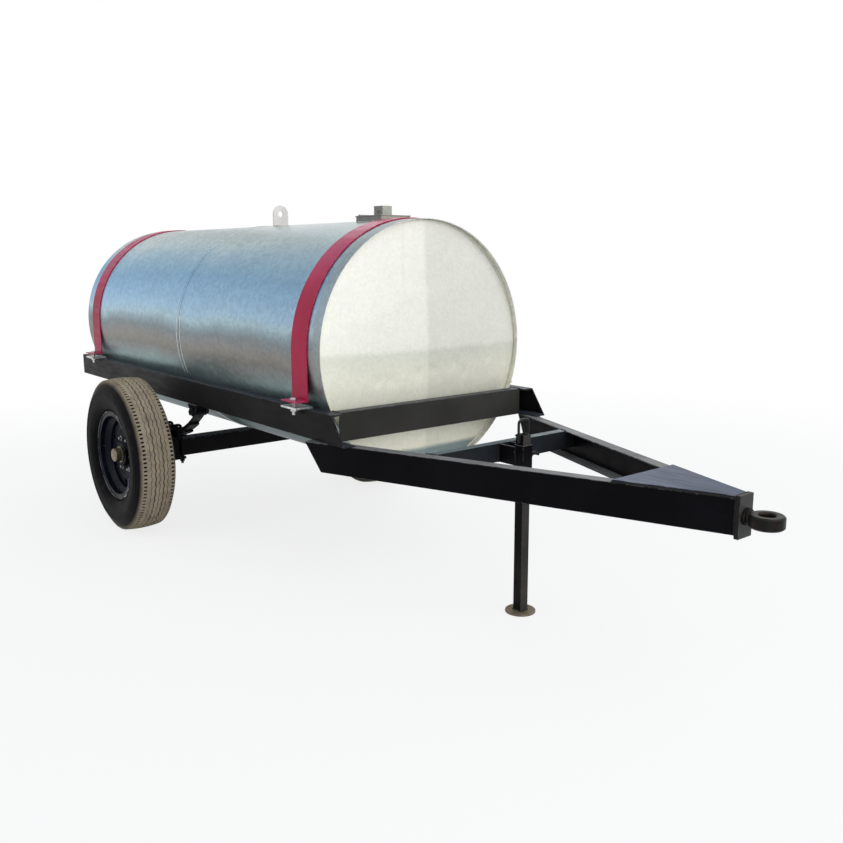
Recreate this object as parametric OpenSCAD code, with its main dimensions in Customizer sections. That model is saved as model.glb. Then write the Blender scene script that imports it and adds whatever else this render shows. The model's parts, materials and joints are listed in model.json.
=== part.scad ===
// Single-axle water bowser: a galvanised tank strapped to a channel-steel trailer.
// +X points to the towing eye, +Z is up, the ground is z = 0 and the origin lies
// on the ground under the middle of the trailer's length.

/* [Tank] */
// Outer radius of the shell
tank_r = 530; // [460:1:580]
// Length of the shell over both courses
tank_length = 2570; // [2200:10:2800]
// Thickness of the shell sheet
tank_wall = 3; // [2:0.5:6]
// Height of the tank's underside above the axle
tank_gap = 22.5; // [20:0.5:60]
// Set-back of the end panels inside the shell's rims
end_inset = 30; // [20:1:60]
// Height of the cross-broken point of an end panel above its rim
end_bulge = 45; // [25:1:80]
// Thickness of the end panels and the baffle
end_wall = 3; // [2:0.5:6]
// Depth of the flange turned into the shell
end_flange = 25; // [15:1:40]
// Width of the strip over the middle seam
seam_width = 14; // [8:1:40]
// Height of the strip over the middle seam
seam_rise = 2; // [1:0.5:4]
// Radius of the passage through the baffle
baffle_hole_r = 180; // [100:5:260]
// Distance of the baffle behind the middle seam
baffle_set_back = 40; // [20:5:120]

/* [Hatch and lifting lug] */
// Distance of the hatch's middle behind the front rim
hatch_x = 299; // [240:5:800]
// Length of the hatch lid along the tank
lid_length = 190; // [160:1:280]
// Width of the hatch lid across the tank
lid_width = 160; // [120:1:220]
// Thickness of the hatch lid
lid_t = 4; // [3:0.5:8]
// Overhang of the lid past the neck
lid_overhang = 3; // [1:0.5:6]
// Height of the neck above the crown of the shell
neck_rise = 15; // [12:1:60]
// Thickness of the neck plate
neck_wall = 4; // [3:0.5:8]
// Length of the vent box on the lid
vent_length = 62; // [40:1:90]
// Width of the vent box on the lid
vent_width = 51; // [30:1:80]
// Height of the vent box on the lid
vent_height = 41; // [20:1:50]
// Radius of the hatch hinge pin
hinge_pin_r = 4; // [3:0.5:5]
// Radius of the hatch hinge knuckles
knuckle_r = 9; // [8:0.5:12]
// Distance of the lifting lug behind the front rim
lug_x = 1170; // [900:5:1250]
// Width of the lifting lug
lug_width = 84; // [70:1:120]
// Height of the lifting lug above the crown
lug_height = 100; // [80:1:140]
// Thickness of the lifting lug
lug_t = 12; // [8:1:20]
// Radius of the lifting hole
lug_hole_r = 15; // [12:0.5:20]

/* [Hold-down straps] */
// Width of a strap
strap_width = 115; // [80:1:130]
// Thickness of a strap
strap_t = 5; // [3:0.5:8]
// Distance of a strap's middle from the shell's rim
strap_inset = 145; // [110:5:220]
// Gap between a strap foot and its lug plate
strap_pull = 18; // [16:1:40]
// Thickness of the lug plates on the rails
strap_lug_t = 8; // [6:1:12]
// Radius of the strap bolts
strap_bolt_r = 8; // [6:0.5:10]
// Distance of the strap bolts outside the rails
strap_bolt_out = 20; // [16:1:32]

/* [Side rails and cross beams] */
// Height of the rail channel
rail_h = 115; // [90:1:140]
// Width of the rail channel
rail_w = 56; // [44:1:70]
// Thickness of the channel web
rail_t = 6; // [4:0.5:8]
// Reach of the rails behind the tank
rail_rear_reach = 110; // [90:5:200]
// Reach of the rails' upper edge ahead of the tank
rail_front_reach = 90; // [85:5:140]
// Extra reach of the rails' lower edge at the slanted front
rail_front_slant = 80; // [40:5:110]
// Width of the cross beams
cross_beam_w = 50; // [40:1:60]
// Gap between the tank's rim and the front cross beam
cross_beam_gap = 14; // [10:1:20]

/* [Drawbar] */
// Height of the drawbar channels
bar_h = 115; // [90:1:140]
// Width of the drawbar channels
bar_w = 50; // [40:1:60]
// Thickness of the drawbar channel web
bar_t = 7; // [5:0.5:8]
// Reach of the drawbar's tip ahead of the tank
bar_tip_x = 1477; // [1300:5:1700]
// Half the width of the drawbar's tip
bar_tip_half = 35; // [34:0.5:44]
// Overlap of the drawbar under the rails behind the tank's rim
bar_rear_x = 40; // [20:5:120]
// Overhang of the drawbar's rear ends outside the rails
bar_rear_out = 40; // [10:1:60]
// Slant of the drawbar's rear ends
bar_rear_slant = 75; // [30:5:100]
// Reach of the cross member's front face ahead of the tank
member_x = 470; // [400:5:700]
// Height of the cross member
member_h = 72; // [60:1:86]
// Width of the cross member
member_w = 40; // [30:1:60]
// Length of the gusset plate behind the tip
gusset_length = 360; // [250:5:450]
// Thickness of the gusset plate
gusset_t = 8; // [5:0.5:12]
// Width of the end plate
end_plate_w = 72; // [66:1:100]
// Height of the end plate
end_plate_h = 134; // [126:1:160]
// Thickness of the end plate
end_plate_t = 15; // [10:1:25]

/* [Towing eye] */
// Outer radius of the ring
eye_r = 52; // [45:0.5:60]
// Radius of the ring's hole
eye_hole_r = 25; // [20:0.5:30]
// Thickness of the ring
eye_t = 40; // [30:1:46]
// Length of the neck between the end plate and the ring's middle
eye_neck = 68; // [60:1:90]
// Radius of the threaded shank
eye_shank_r = 15; // [12:0.5:17]

/* [Prop stand] */
// Side of the square sleeve
sleeve_side = 50; // [46:1:70]
// Wall of the sleeve
sleeve_wall = 4; // [3:0.5:5]
// Length of the sleeve
sleeve_length = 120; // [100:5:180]
// Rise of the sleeve above the drawbar
sleeve_rise = 8; // [4:1:60]
// Length of the cheeks between the cross member and the sleeve
cheek_reach = 73; // [50:1:120]
// Thickness of the cheeks
cheek_t = 6; // [4:1:10]
// Height of the leg above the sleeve
leg_rise = 40; // [36:1:80]
// Gap on each side between the leg and the sleeve
leg_gap = 1; // [0.5:0.1:2]
// Wall of the leg's tube
leg_wall = 4; // [3:0.5:5]
// Radius of the foot plate
foot_r = 59; // [50:1:80]
// Thickness of the foot plate
foot_t = 8; // [6:1:14]
// Radius of the handle bar
handle_bar_r = 5; // [4:0.5:7]
// Height of the handle loop above the leg
handle_rise = 60; // [50:1:110]
// Radius of the clamp screw
clamp_r = 7; // [5:0.5:9]

/* [Axle and springs] */
// Distance of the axle behind the tank's front rim
axle_back = 1475; // [1300:5:1600]
// Side of the square axle tube
axle_side = 90; // [80:1:100]
// Wall of the axle tube
axle_wall = 8; // [6:0.5:12]
// Distance from the middle of the trailer to a wheel's middle
half_track = 740; // [720:1:800]
// Gap between the axle tube's end and the wheel's middle
axle_end_gap = 130; // [125:1:150]
// Radius of the main leaf's upper face
leaf_r = 560; // [540:5:640]
// Thickness of one leaf
leaf_t = 10; // [8:0.5:12]
// Width of the leaves
leaf_w = 50; // [44:1:56]
// Distance from the axle to the spring eye
spring_reach = 350; // [330:5:380]
// Number of shorter leaves under the main leaf
leaf_count = 3; // [2:1:4]
// Radius of the spring eye's bore
spring_eye_r = 10; // [8:0.5:12]
// Thinnest part of the spring seat
seat_t = 14; // [10:1:24]
// Height of the rails above the spring eyes
hanger_drop = 36; // [34:1:60]
// Thickness of the hanger plates
hanger_t = 8; // [6:0.5:10]
// Radius of the U-bolts
u_bolt_r = 7; // [6:0.5:8]
// Thickness of the plate under the axle
u_plate_t = 12; // [8:1:16]

/* [Wheels] */
// Diameter of a tyre
tyre_d = 765; // [730:1:800]
// Width of a tyre
tyre_w = 205; // [190:1:225]
// Thickness of a tyre's side wall
tyre_wall = 13; // [10:1:18]
// Radius of the rim's bead seat
rim_seat_r = 203; // [196:0.5:206]
// Width between the rim flanges
rim_width = 142; // [136:1:150]
// Height of the rim flanges
rim_flange = 19; // [15:0.5:22]
// Thickness of the rim's steel
rim_t = 5; // [4:0.5:7]
// Thickness of the wheel disc
disc_t = 8; // [6:0.5:10]
// Number of wheel studs
stud_count = 6; // [5:1:8]
// Radius of the stud circle
stud_circle_r = 85; // [80:1:90]
// Radius of the wheel studs
stud_r = 7.5; // [6:0.5:8]
// Number of hand holes in the disc
hand_hole_count = 6; // [4:1:8]
// Radius of the hand holes
hand_hole_r = 14; // [10:0.5:16]
// Radius of the hub barrel
hub_r = 57; // [54:0.5:58]
// Radius of the inner bearing's seat
inner_seat_r = 25; // [22:0.5:26]
// Radius of the outer bearing's seat
outer_seat_r = 17.5; // [16:0.5:19]
// Half the width of the tread
tread_half = 76; // [68:1:84]
// Thickness of the tread
tread_t = 26; // [22:1:32]
// Fall of the tread from its middle to its edges
crown_drop = 6; // [3:0.5:8]
// Number of tread grooves
groove_count = 4; // [3:1:5]
// Width of a tread groove
groove_w = 8; // [5:0.5:10]
// Depth of a tread groove
groove_depth = 11; // [9:0.5:14]

/* [Outlet] */
// Height of the outlet above the tank's underside
outlet_rise = 90; // [80:1:140]
// Outer radius of the outlet pipe
outlet_r = 30; // [24:0.5:34]
// Wall of the outlet pipe
outlet_wall = 4; // [3:0.5:6]
// Length of the valve lever
lever_length = 150; // [110:1:180]

/* [Fits] */
// Gap between sheets and the faces that they lie on
sheet_gap = 0.3; // [0.2:0.05:0.5]
// Radial clearance of shafts and pins that turn
run_gap = 0.05; // [0.02:0.01:0.1]
// Radial clearance of bolts in their holes
bolt_gap = 0.5; // [0.3:0.1:1]

/* [Hidden] */
$fn = 64;
eps = 1;

// Taper of the rolled channels' flanges, as shares of the web
flange_tip = 0.9;
flange_root = 1.4;

// Wheel and spring heights
axle_x = -axle_back;
axle_z = tyre_d/2;
axle_top = axle_z + axle_side/2;
pack_t = (leaf_count + 1)*(leaf_t + sheet_gap);
main_leaf_z = axle_top + seat_t + pack_t;
leaf_centre_z = main_leaf_z + leaf_r;
spring_eye_outer = spring_eye_r + leaf_t;
spring_eye_arm = leaf_r - spring_eye_r;
spring_eye_angle = asin(spring_reach/spring_eye_arm);
spring_eye_z = leaf_centre_z - spring_eye_arm*cos(spring_eye_angle);
slipper_angle = asin(spring_reach/leaf_r);
slipper_r = 36;
leaf_tail_angle = slipper_angle + 4;
leaf_tip_share = 1.6;

// Spring clamps and hangers
clamp_block_h = 14;
u_bolt_x = axle_side/2 + sheet_gap + u_bolt_r;
u_bolt_arm = leaf_w/2 + 2*sheet_gap + u_bolt_r;
u_bolt_top_z = main_leaf_z + clamp_block_h + sheet_gap + u_bolt_r;
u_bolt_nut_h = 2*u_bolt_r - 2;
u_plate_top_z = axle_z - axle_side/2;
hanger_gap = 2;
hanger_y = leaf_w/2 + hanger_gap;
hanger_half = 46;
cheek_edge = 12;
keeper_r = 6;
keeper_gap = 3;
slipper_arm = leaf_r - sheet_gap - slipper_r;
slipper_at = [axle_x - slipper_arm*sin(slipper_angle), leaf_centre_z - slipper_arm*cos(slipper_angle)];
keeper_arm = leaf_r + leaf_t + keeper_r + keeper_gap;
keeper_at = [axle_x - keeper_arm*sin(slipper_angle), leaf_centre_z - keeper_arm*cos(slipper_angle)];

// Tank and rails
tank_axis_z = axle_top + tank_gap + tank_r;
tank_crown_z = tank_axis_z + tank_r;
rail_bottom_z = spring_eye_z + hanger_drop;
rail_top_z = rail_bottom_z + rail_h;
seat_drop = tank_axis_z - rail_top_z;
rail_inner_y = sqrt(pow(tank_r + sheet_gap, 2) - pow(seat_drop, 2));
rail_outer_y = rail_inner_y + rail_w;
rail_rear_x = -tank_length - rail_rear_reach;
spring_y = rail_inner_y + rail_w/2;
panel_r = tank_r - tank_wall - sheet_gap;
panel_square_r = 1.45*panel_r;

// Hatch
neck_length = lid_length - 2*lid_overhang;
neck_width = lid_width - 2*lid_overhang;
neck_top_z = tank_crown_z + neck_rise;
lid_z = neck_top_z + sheet_gap;
hinge_gap = 0.5;
hinge_x = -hatch_x - lid_length/2 - knuckle_r - hinge_gap;
hinge_z = lid_z + lid_t/2;
hinge_lug_w = 16;
hinge_lug_y = lid_width*0.28;

// Straps
strap_r = tank_r + sheet_gap;
strap_foot_z = rail_top_z + strap_lug_t + strap_pull;
strap_bolt_y = max(rail_outer_y, strap_r + strap_t) + strap_bolt_out;
strap_lug_edge = 26;
strap_xs = [-strap_inset, -tank_length + strap_inset];
strap_nut_h = 13;
strap_bolt_tail = 14;

// Drawbar
bar_top_z = rail_bottom_z;
bar_bottom_z = bar_top_z - bar_h;
bar_mid_z = bar_top_z - bar_h/2;
bar_rear_half = rail_outer_y + bar_rear_out;
bar_slope = (bar_rear_half - bar_tip_half)/(bar_tip_x + bar_rear_x);
bar_angle = atan(bar_slope);
bar_length = (bar_tip_x + bar_rear_x)/cos(bar_angle) + bar_w;
function bar_outer_y(x) = bar_tip_half + (bar_tip_x - x)*bar_slope;
function bar_inner_y(x) = bar_outer_y(x) - bar_t/cos(bar_angle);
eye_x = bar_tip_x + end_plate_t + eye_neck;
eye_collar_r = 27;
eye_collar_t = 12;
eye_nut_h = 24;
eye_washer_t = 4;
eye_chamfer = 5;

// Prop stand
stand_x = member_x + cheek_reach + sleeve_side/2;
sleeve_top_z = bar_top_z + sleeve_rise;
leg_side = sleeve_side - 2*sleeve_wall - 2*leg_gap;
leg_top_z = sleeve_top_z + leg_rise;
clamp_z = sleeve_top_z - sleeve_length*0.35;
clamp_boss_r = clamp_r + 7;
clamp_boss_l = 16;
clamp_bar_r = 5;
clamp_bar_l = sleeve_side - 4;
cheek_lap = 9;
clamp_tip_gap = 0.4;

// Outlet and valve
outlet_z = tank_axis_z - tank_r + outlet_rise;
outlet_arm = tank_axis_z - outlet_z;
outlet_face_x = -tank_length + end_inset - end_bulge*(1 - outlet_arm/panel_square_r);
outlet_length = 55;
valve_half = 38;
valve_x = outlet_face_x - outlet_length - valve_half;
valve_r = outlet_r + 12;
valve_ball_r = outlet_r + 2;
spigot_length = 45;
valve_stem_r = 9;
lever_t = 6;
lever_w = 24;
lever_z = outlet_z + valve_r + 20;

// Overall reach and the shift that puts the origin under its middle
reach_front = eye_x + eye_r;
reach_rear = min(rail_rear_x, valve_x - valve_half - spigot_length);
middle_x = (reach_front + reach_rear)/2;

// Wheel places along the spindle, counted outwards from the wheel's middle plane
hub_back = -70;
hub_front = 45;
hub_flange_r = stud_circle_r + 23;
hub_flange_t = 14;
inner_bearing = [-62, -40];
outer_bearing = [10, 30];
inner_race_r = inner_seat_r + 15;
outer_race_r = outer_seat_r + 13.5;
spindle_shoulder_r = inner_seat_r + 5;
spindle_thread_r = 12;
spindle_end = 62;
hub_washer = [34, 38];
hub_nut_h = 16;
cap_length = 38;
rim_lip_r = 4.5;
rim_well_r = rim_seat_r - 22;
rim_well_half = 24;
rim_seat_w = 26;
rim_seat_fall = 2;
pilot_gap = 2;
disc_seat_edge = 20;
disc_dish = 26;
disc_foot = 6;
hand_hole_edge = 1.5;
stud_back = 12;
stud_front = 34;
wheel_nut_h = 16;

bulge_r = (rim_seat_r + tyre_d/2)/2 + 5;
bulge_rise = (tyre_d/2 - rim_seat_r)*0.4;
bulge_s = tread_half - 8;
bead_w = 20;
wall_from = -70;
wall_step = 13;
groove_span = 2*tread_half*0.8;

// Colours of the finishes
frame_black = [0.06, 0.06, 0.07];
zinc = [0.78, 0.80, 0.82];
cream = [0.90, 0.90, 0.86];
strap_red = [0.62, 0.05, 0.12];
rubber = [0.12, 0.12, 0.12];
rim_blue = [0.08, 0.09, 0.14];
bright_steel = [0.70, 0.71, 0.72];
brass = [0.62, 0.55, 0.38];

// Shared shapes

module home() { translate([-middle_x, 0, 0]) children(); }
module other_side() { mirror([0, 1, 0]) children(); }
module both_sides() {
    children();
    other_side() children();
}
module rod_x(r, l) { rotate([0, 90, 0]) cylinder(r = r, h = l); }
module rod_y(r, l) { translate([0, l/2, 0]) rotate([90, 0, 0]) cylinder(r = r, h = l); }
module hex_prism(across, h) { cylinder(r = across/2/cos(30), h = h, $fn = 6); }

// Outline of a rolled channel: web on x = 0, flanges tapering towards +x
function channel_outline(h, w, t) = [
    [0, 0], [w, 0], [w, t*flange_tip], [t, t*flange_root],
    [t, h - t*flange_root], [w, h - t*flange_tip], [w, h], [0, h]];
function turned(points) = [for (p = points) [-p[0], p[1]]];
module along_x(l) { rotate([90, 0, 90]) linear_extrude(l) children(); }
module along_y(l) { translate([0, l/2, 0]) rotate([90, 0, 0]) linear_extrude(l) children(); }
module tank_cylinder(r, from, to) {
    translate([from, 0, tank_axis_z]) rod_x(r, to - from, $fn = 128);
}
// Places a shape whose z axis points outwards along the right-hand spindle
module on_wheel() { translate([axle_x, -half_track, axle_z]) rotate([90, 0, 0]) children(); }
// Places a shape drawn round the centre of the spring's curve, x forward and y up
module on_spring() { translate([axle_x, -spring_y, leaf_centre_z]) rotate([90, 0, 0]) children(); }

// Chassis

module side_rail() {
    lower = rail_front_reach + rail_front_slant - rail_rear_x;
    upper = rail_front_reach - rail_rear_x;
    color(frame_black) translate([rail_rear_x, -rail_outer_y, rail_bottom_z]) intersection() {
        along_x(lower) polygon(channel_outline(rail_h, rail_w, rail_t));
        translate([0, rail_w/2, 0]) along_y(rail_w + eps)
            polygon([[0, 0], [lower, 0], [upper, rail_h], [0, rail_h]]);
    }
}
module front_cross_beam() {
    color(frame_black) translate([cross_beam_gap + cross_beam_w, 0, rail_bottom_z])
        along_y(2*rail_inner_y) polygon(turned(channel_outline(rail_h, cross_beam_w, rail_t)));
}
module rear_cross_beam() {
    color(frame_black) translate([rail_rear_x, 0, rail_bottom_z])
        along_y(2*rail_inner_y) polygon(channel_outline(rail_h, cross_beam_w, rail_t));
}
module drawbar_beam() {
    reach = bar_tip_x + bar_rear_x;
    color(frame_black) intersection() {
        translate([-bar_rear_x, -bar_rear_half, bar_bottom_z]) rotate([0, 0, bar_angle]) intersection() {
            along_x(bar_length) polygon(channel_outline(bar_h, bar_w, bar_t));
            translate([0, bar_w/2, 0]) along_y(bar_w + eps)
                polygon([[bar_rear_slant, 0], [bar_length, 0], [bar_length, bar_h], [0, bar_h]]);
        }
        translate([-bar_rear_x - bar_w, -2*bar_rear_half, bar_bottom_z - eps])
            cube([reach + bar_w, 2*bar_rear_half, bar_h + 2*eps]);
    }
}
// Plan of the cross member between the beams' webs, drawn in at each end
module member_plan(drawn_in) {
    back = member_x - member_w;
    back_y = bar_inner_y(back) - drawn_in;
    front_y = bar_inner_y(member_x) - drawn_in;
    polygon([[back, -back_y], [member_x, -front_y], [member_x, front_y], [back, back_y]]);
}
// Channel level with the top of the beams, coped round their upper flanges
module drawbar_cross_member() {
    under_flange = bar_h - flange_root*bar_t - sheet_gap;
    flange_in = (bar_w - bar_t)/cos(bar_angle) + sheet_gap;
    color(frame_black) intersection() {
        translate([member_x, 0, bar_top_z - member_h]) along_y(2*bar_outer_y(member_x - member_w))
            polygon(turned(channel_outline(member_h, member_w, bar_t)));
        translate([0, 0, bar_bottom_z]) union() {
            linear_extrude(under_flange) member_plan(0);
            linear_extrude(bar_h) member_plan(flange_in);
        }
    }
}
module drawbar_gusset_plate() {
    edge = 3;
    back = bar_tip_x - gusset_length;
    color(frame_black) translate([0, 0, bar_top_z]) linear_extrude(gusset_t) polygon([
        [back, edge - bar_outer_y(back)], [bar_tip_x, edge - bar_tip_half],
        [bar_tip_x, bar_tip_half - edge], [back, bar_outer_y(back) - edge]]);
}
module drawbar_end_plate() {
    color(frame_black) difference() {
        translate([bar_tip_x, -end_plate_w/2, bar_mid_z - end_plate_h/2])
            cube([end_plate_t, end_plate_w, end_plate_h]);
        translate([bar_tip_x - eps, 0, bar_mid_z]) rod_x(eye_shank_r + bolt_gap, end_plate_t + 2*eps);
    }
}
// Forged ring with a chamfered rim, a tapering neck, a collar and a threaded shank
module towing_eye() {
    half = eye_t/2;
    throat_wall = 6;
    thread_tail = 6;
    shank_back = eye_washer_t + eye_nut_h + thread_tail;
    plate_front = bar_tip_x + end_plate_t;
    neck_l = eye_neck - eye_collar_t - eye_hole_r - throat_wall;
    color(frame_black) translate([0, 0, bar_mid_z]) difference() {
        union() {
            translate([eye_x, 0, 0]) rotate_extrude() polygon([
                [eye_hole_r, -half + eye_chamfer], [eye_hole_r + eye_chamfer, -half],
                [eye_r - eye_chamfer, -half], [eye_r, -half + eye_chamfer],
                [eye_r, half - eye_chamfer], [eye_r - eye_chamfer, half],
                [eye_hole_r + eye_chamfer, half], [eye_hole_r, half - eye_chamfer]]);
            translate([plate_front, 0, 0]) rod_x(eye_collar_r, eye_collar_t);
            translate([plate_front + eye_collar_t, 0, 0]) rotate([0, 90, 0])
                cylinder(r1 = 0.8*eye_collar_r, r2 = 0.8*half, h = neck_l);
            translate([bar_tip_x - shank_back, 0, 0])
                rod_x(eye_shank_r, shank_back + end_plate_t + eps);
        }
        translate([eye_x, 0, -half - eps]) cylinder(r = eye_hole_r, h = eye_t + 2*eps);
    }
}
module towing_eye_nut() {
    washer_back = bar_tip_x - eye_washer_t;
    washer_edge = 9;
    nut_wall = 8;
    color(bright_steel) translate([0, 0, bar_mid_z]) difference() {
        union() {
            translate([washer_back, 0, 0]) rod_x(eye_shank_r + washer_edge, eye_washer_t);
            translate([washer_back - eye_nut_h, 0, 0]) rotate([0, 90, 0])
                hex_prism(2*(eye_shank_r + nut_wall), eye_nut_h);
        }
        translate([washer_back - eye_nut_h - eps, 0, 0])
            rod_x(eye_shank_r + run_gap, eye_nut_h + eye_washer_t + 2*eps);
    }
}

// Prop stand

module square_tube(side, wall, h) {
    linear_extrude(h) difference() {
        square(side, center = true);
        square(side - 2*wall, center = true);
    }
}
// Square sleeve with a boss for its clamp screw, on two cheeks from the cross member
module stand_sleeve() {
    cheek_l = cheek_reach + cheek_lap;
    color(frame_black) translate([stand_x, 0, 0]) difference() {
        union() {
            both_sides()
                translate([-sleeve_side/2 - cheek_reach, -sleeve_side/2 - cheek_t, bar_top_z - member_h])
                    cube([cheek_l, cheek_t, member_h]);
            translate([0, 0, sleeve_top_z - sleeve_length])
                square_tube(sleeve_side, sleeve_wall, sleeve_length);
            translate([0, sleeve_side/2 + clamp_boss_l/2, clamp_z]) rod_y(clamp_boss_r, clamp_boss_l);
        }
        translate([0, sleeve_side/2, clamp_z]) rod_y(clamp_r + run_gap, 2*clamp_boss_l + 2*eps);
    }
}
module stand_leg() {
    color(frame_black) translate([stand_x, 0, foot_t])
        square_tube(leg_side, leg_wall, leg_top_z - foot_t);
}
module stand_foot() {
    edge = 2;
    color(frame_black) translate([stand_x, 0, 0]) rotate_extrude()
        polygon([[0, 0], [foot_r, 0], [foot_r, foot_t - edge], [foot_r - edge, foot_t], [0, foot_t]]);
}
// Bent round bar whose ends run down the sides of the leg
module stand_handle() {
    arm_y = leg_side/2 + sheet_gap + handle_bar_r;
    bend = 3*handle_bar_r;
    depth = 0.8*leg_rise;
    arm_top = leg_top_z + handle_rise - handle_bar_r - bend;
    color(frame_black) translate([stand_x, 0, 0]) {
        both_sides() {
            translate([0, -arm_y, leg_top_z - depth])
                cylinder(r = handle_bar_r, h = arm_top - leg_top_z + depth);
            translate([0, bend - arm_y, arm_top]) rotate([90, 0, -90]) rotate_extrude(angle = 90)
                translate([bend, 0]) circle(handle_bar_r);
        }
        translate([0, 0, arm_top + bend]) rod_y(handle_bar_r, 2*(arm_y - bend));
    }
}
module stand_clamp_screw() {
    tip = leg_side/2 + clamp_tip_gap;
    grip = 24;
    tail = sleeve_side/2 + clamp_boss_l + grip;
    color(zinc) translate([stand_x, 0, clamp_z]) {
        translate([0, (tip + tail)/2, 0]) rod_y(clamp_r, tail - tip);
        translate([-clamp_bar_l/2, tail - clamp_bar_r, 0]) rod_x(clamp_bar_r, clamp_bar_l);
    }
}

// Tank

module shell_course(from, to) {
    difference() {
        tank_cylinder(tank_r, from, to);
        tank_cylinder(tank_r - tank_wall, from - eps, to + eps);
    }
}
module tank_shell_front() {
    color(zinc) difference() {
        shell_course(-tank_length/2, 0);
        translate([-hatch_x, 0, tank_crown_z]) cube([
            neck_length - 2*neck_wall, neck_width - 2*neck_wall, 4*neck_rise], center = true);
    }
}
module tank_shell_rear() { color(zinc) shell_course(-tank_length, -tank_length/2); }
// Strip round the middle seam, stopped where the rails carry the tank
module tank_seam_strip() {
    from = -(tank_length + seam_width)/2;
    rail_room = [seam_width + 2*eps, rail_w + 2*sheet_gap, rail_h + 2*sheet_gap];
    color(zinc) difference() {
        tank_cylinder(tank_r + sheet_gap + seam_rise, from, from + seam_width);
        tank_cylinder(tank_r + sheet_gap, from - eps, from + seam_width + eps);
        both_sides() translate([from - eps, -rail_outer_y - sheet_gap, rail_bottom_z - sheet_gap])
            cube(rail_room);
    }
}
// Four-sided point whose creases run across and down the panel
module cross_break(depth) {
    translate([0, 0, -depth]) cylinder(
        r1 = panel_square_r*(end_bulge + depth)/end_bulge, r2 = 0, h = end_bulge + depth, $fn = 4);
}
// Flanged end panel, rim at z = 0 and point towards +z
module end_panel() {
    depth = end_flange + 4*end_wall;
    difference() {
        intersection() {
            cross_break(depth);
            translate([0, 0, -end_flange])
                cylinder(r = panel_r, h = end_flange + end_bulge + eps, $fn = 128);
        }
        intersection() {
            translate([0, 0, -end_wall]) cross_break(depth);
            translate([0, 0, -depth])
                cylinder(r = panel_r - end_wall, h = depth + end_bulge, $fn = 128);
        }
    }
}
module tank_front_end() {
    color(cream) translate([-end_inset, 0, tank_axis_z]) rotate([0, 90, 0]) end_panel();
}
module tank_rear_end() {
    color(cream) difference() {
        translate([-tank_length + end_inset, 0, tank_axis_z]) rotate([0, -90, 0]) end_panel();
        translate([outlet_face_x - end_bulge, 0, outlet_z])
            rod_x(outlet_r + sheet_gap, 2*end_bulge + end_flange);
    }
}
module tank_baffle() {
    x = -tank_length/2 - baffle_set_back;
    notch_r = 70;
    color(zinc) difference() {
        tank_cylinder(panel_r, x, x + end_wall);
        tank_cylinder(baffle_hole_r, x - eps, x + end_wall + eps);
        for (side = [-1, 1]) translate([x - eps, 0, tank_axis_z + side*panel_r])
            rod_x(notch_r, end_wall + 2*eps);
    }
}
module hatch_neck() {
    foot = tank_crown_z - lid_width/4;
    lug_drop = 3;
    color(zinc) difference() {
        union() {
            translate([-hatch_x, 0, foot]) linear_extrude(neck_top_z - foot) difference() {
                square([neck_length, neck_width], center = true);
                square([neck_length - 2*neck_wall, neck_width - 2*neck_wall], center = true);
            }
            both_sides() translate([hinge_x, -hinge_lug_y, 0]) {
                translate([0, 0, hinge_z]) rod_y(knuckle_r, hinge_lug_w);
                translate([0, -hinge_lug_w/2, neck_top_z - lug_drop - knuckle_r])
                    cube([-hatch_x - neck_length/2 - hinge_x, hinge_lug_w, knuckle_r]);
            }
        }
        tank_cylinder(tank_r + sheet_gap, -hatch_x - lid_length, -hatch_x + lid_length);
        translate([hinge_x, 0, hinge_z]) rod_y(hinge_pin_r + run_gap, lid_width);
    }
}
module hatch_lid() {
    knuckle_w = 2*(hinge_lug_y - hinge_lug_w/2 - hinge_gap);
    color(zinc) difference() {
        union() {
            translate([-hatch_x - lid_length/2, -lid_width/2, lid_z])
                cube([lid_length, lid_width, lid_t]);
            translate([hinge_x, 0, hinge_z]) rod_y(knuckle_r, knuckle_w);
            translate([hinge_x, -knuckle_w/2, lid_z])
                cube([knuckle_r + hinge_gap + eps, knuckle_w, lid_t]);
        }
        translate([hinge_x, 0, hinge_z]) rod_y(hinge_pin_r + run_gap, lid_width);
    }
}
// Cover over the breather, with a row of slots in each long side
module hatch_vent_box() {
    wall = 3;
    slot = [4, vent_width + 2*eps, vent_height*0.3];
    pitch = 11;
    color(zinc) translate([-hatch_x, 0, lid_z + lid_t]) difference() {
        translate([-vent_length/2, -vent_width/2, 0]) cube([vent_length, vent_width, vent_height]);
        translate([wall - vent_length/2, wall - vent_width/2, -eps])
            cube([vent_length - 2*wall, vent_width - 2*wall, vent_height - wall + eps]);
        for (i = [-1:1]) translate([i*pitch, 0, vent_height*0.35]) cube(slot, center = true);
    }
}
module hatch_hinge_pin() {
    tail = 3;
    color(bright_steel) translate([hinge_x, 0, hinge_z])
        rod_y(hinge_pin_r, 2*(hinge_lug_y + tail) + hinge_lug_w);
}
module lifting_lug() {
    top_r = lug_width/2;
    foot = tank_crown_z - top_r/2;
    color(bright_steel) difference() {
        translate([-lug_x - lug_t/2, 0, foot]) along_x(lug_t) union() {
            translate([-top_r, 0]) square([lug_width, tank_crown_z + lug_height - top_r - foot]);
            translate([0, tank_crown_z + lug_height - top_r - foot]) circle(top_r);
        }
        tank_cylinder(tank_r + sheet_gap, -lug_x - lug_t, -lug_x + lug_t);
        translate([-lug_x - lug_t, 0, tank_crown_z + lug_height - top_r]) rod_x(lug_hole_r, 2*lug_t);
    }
}

// Straps

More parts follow.
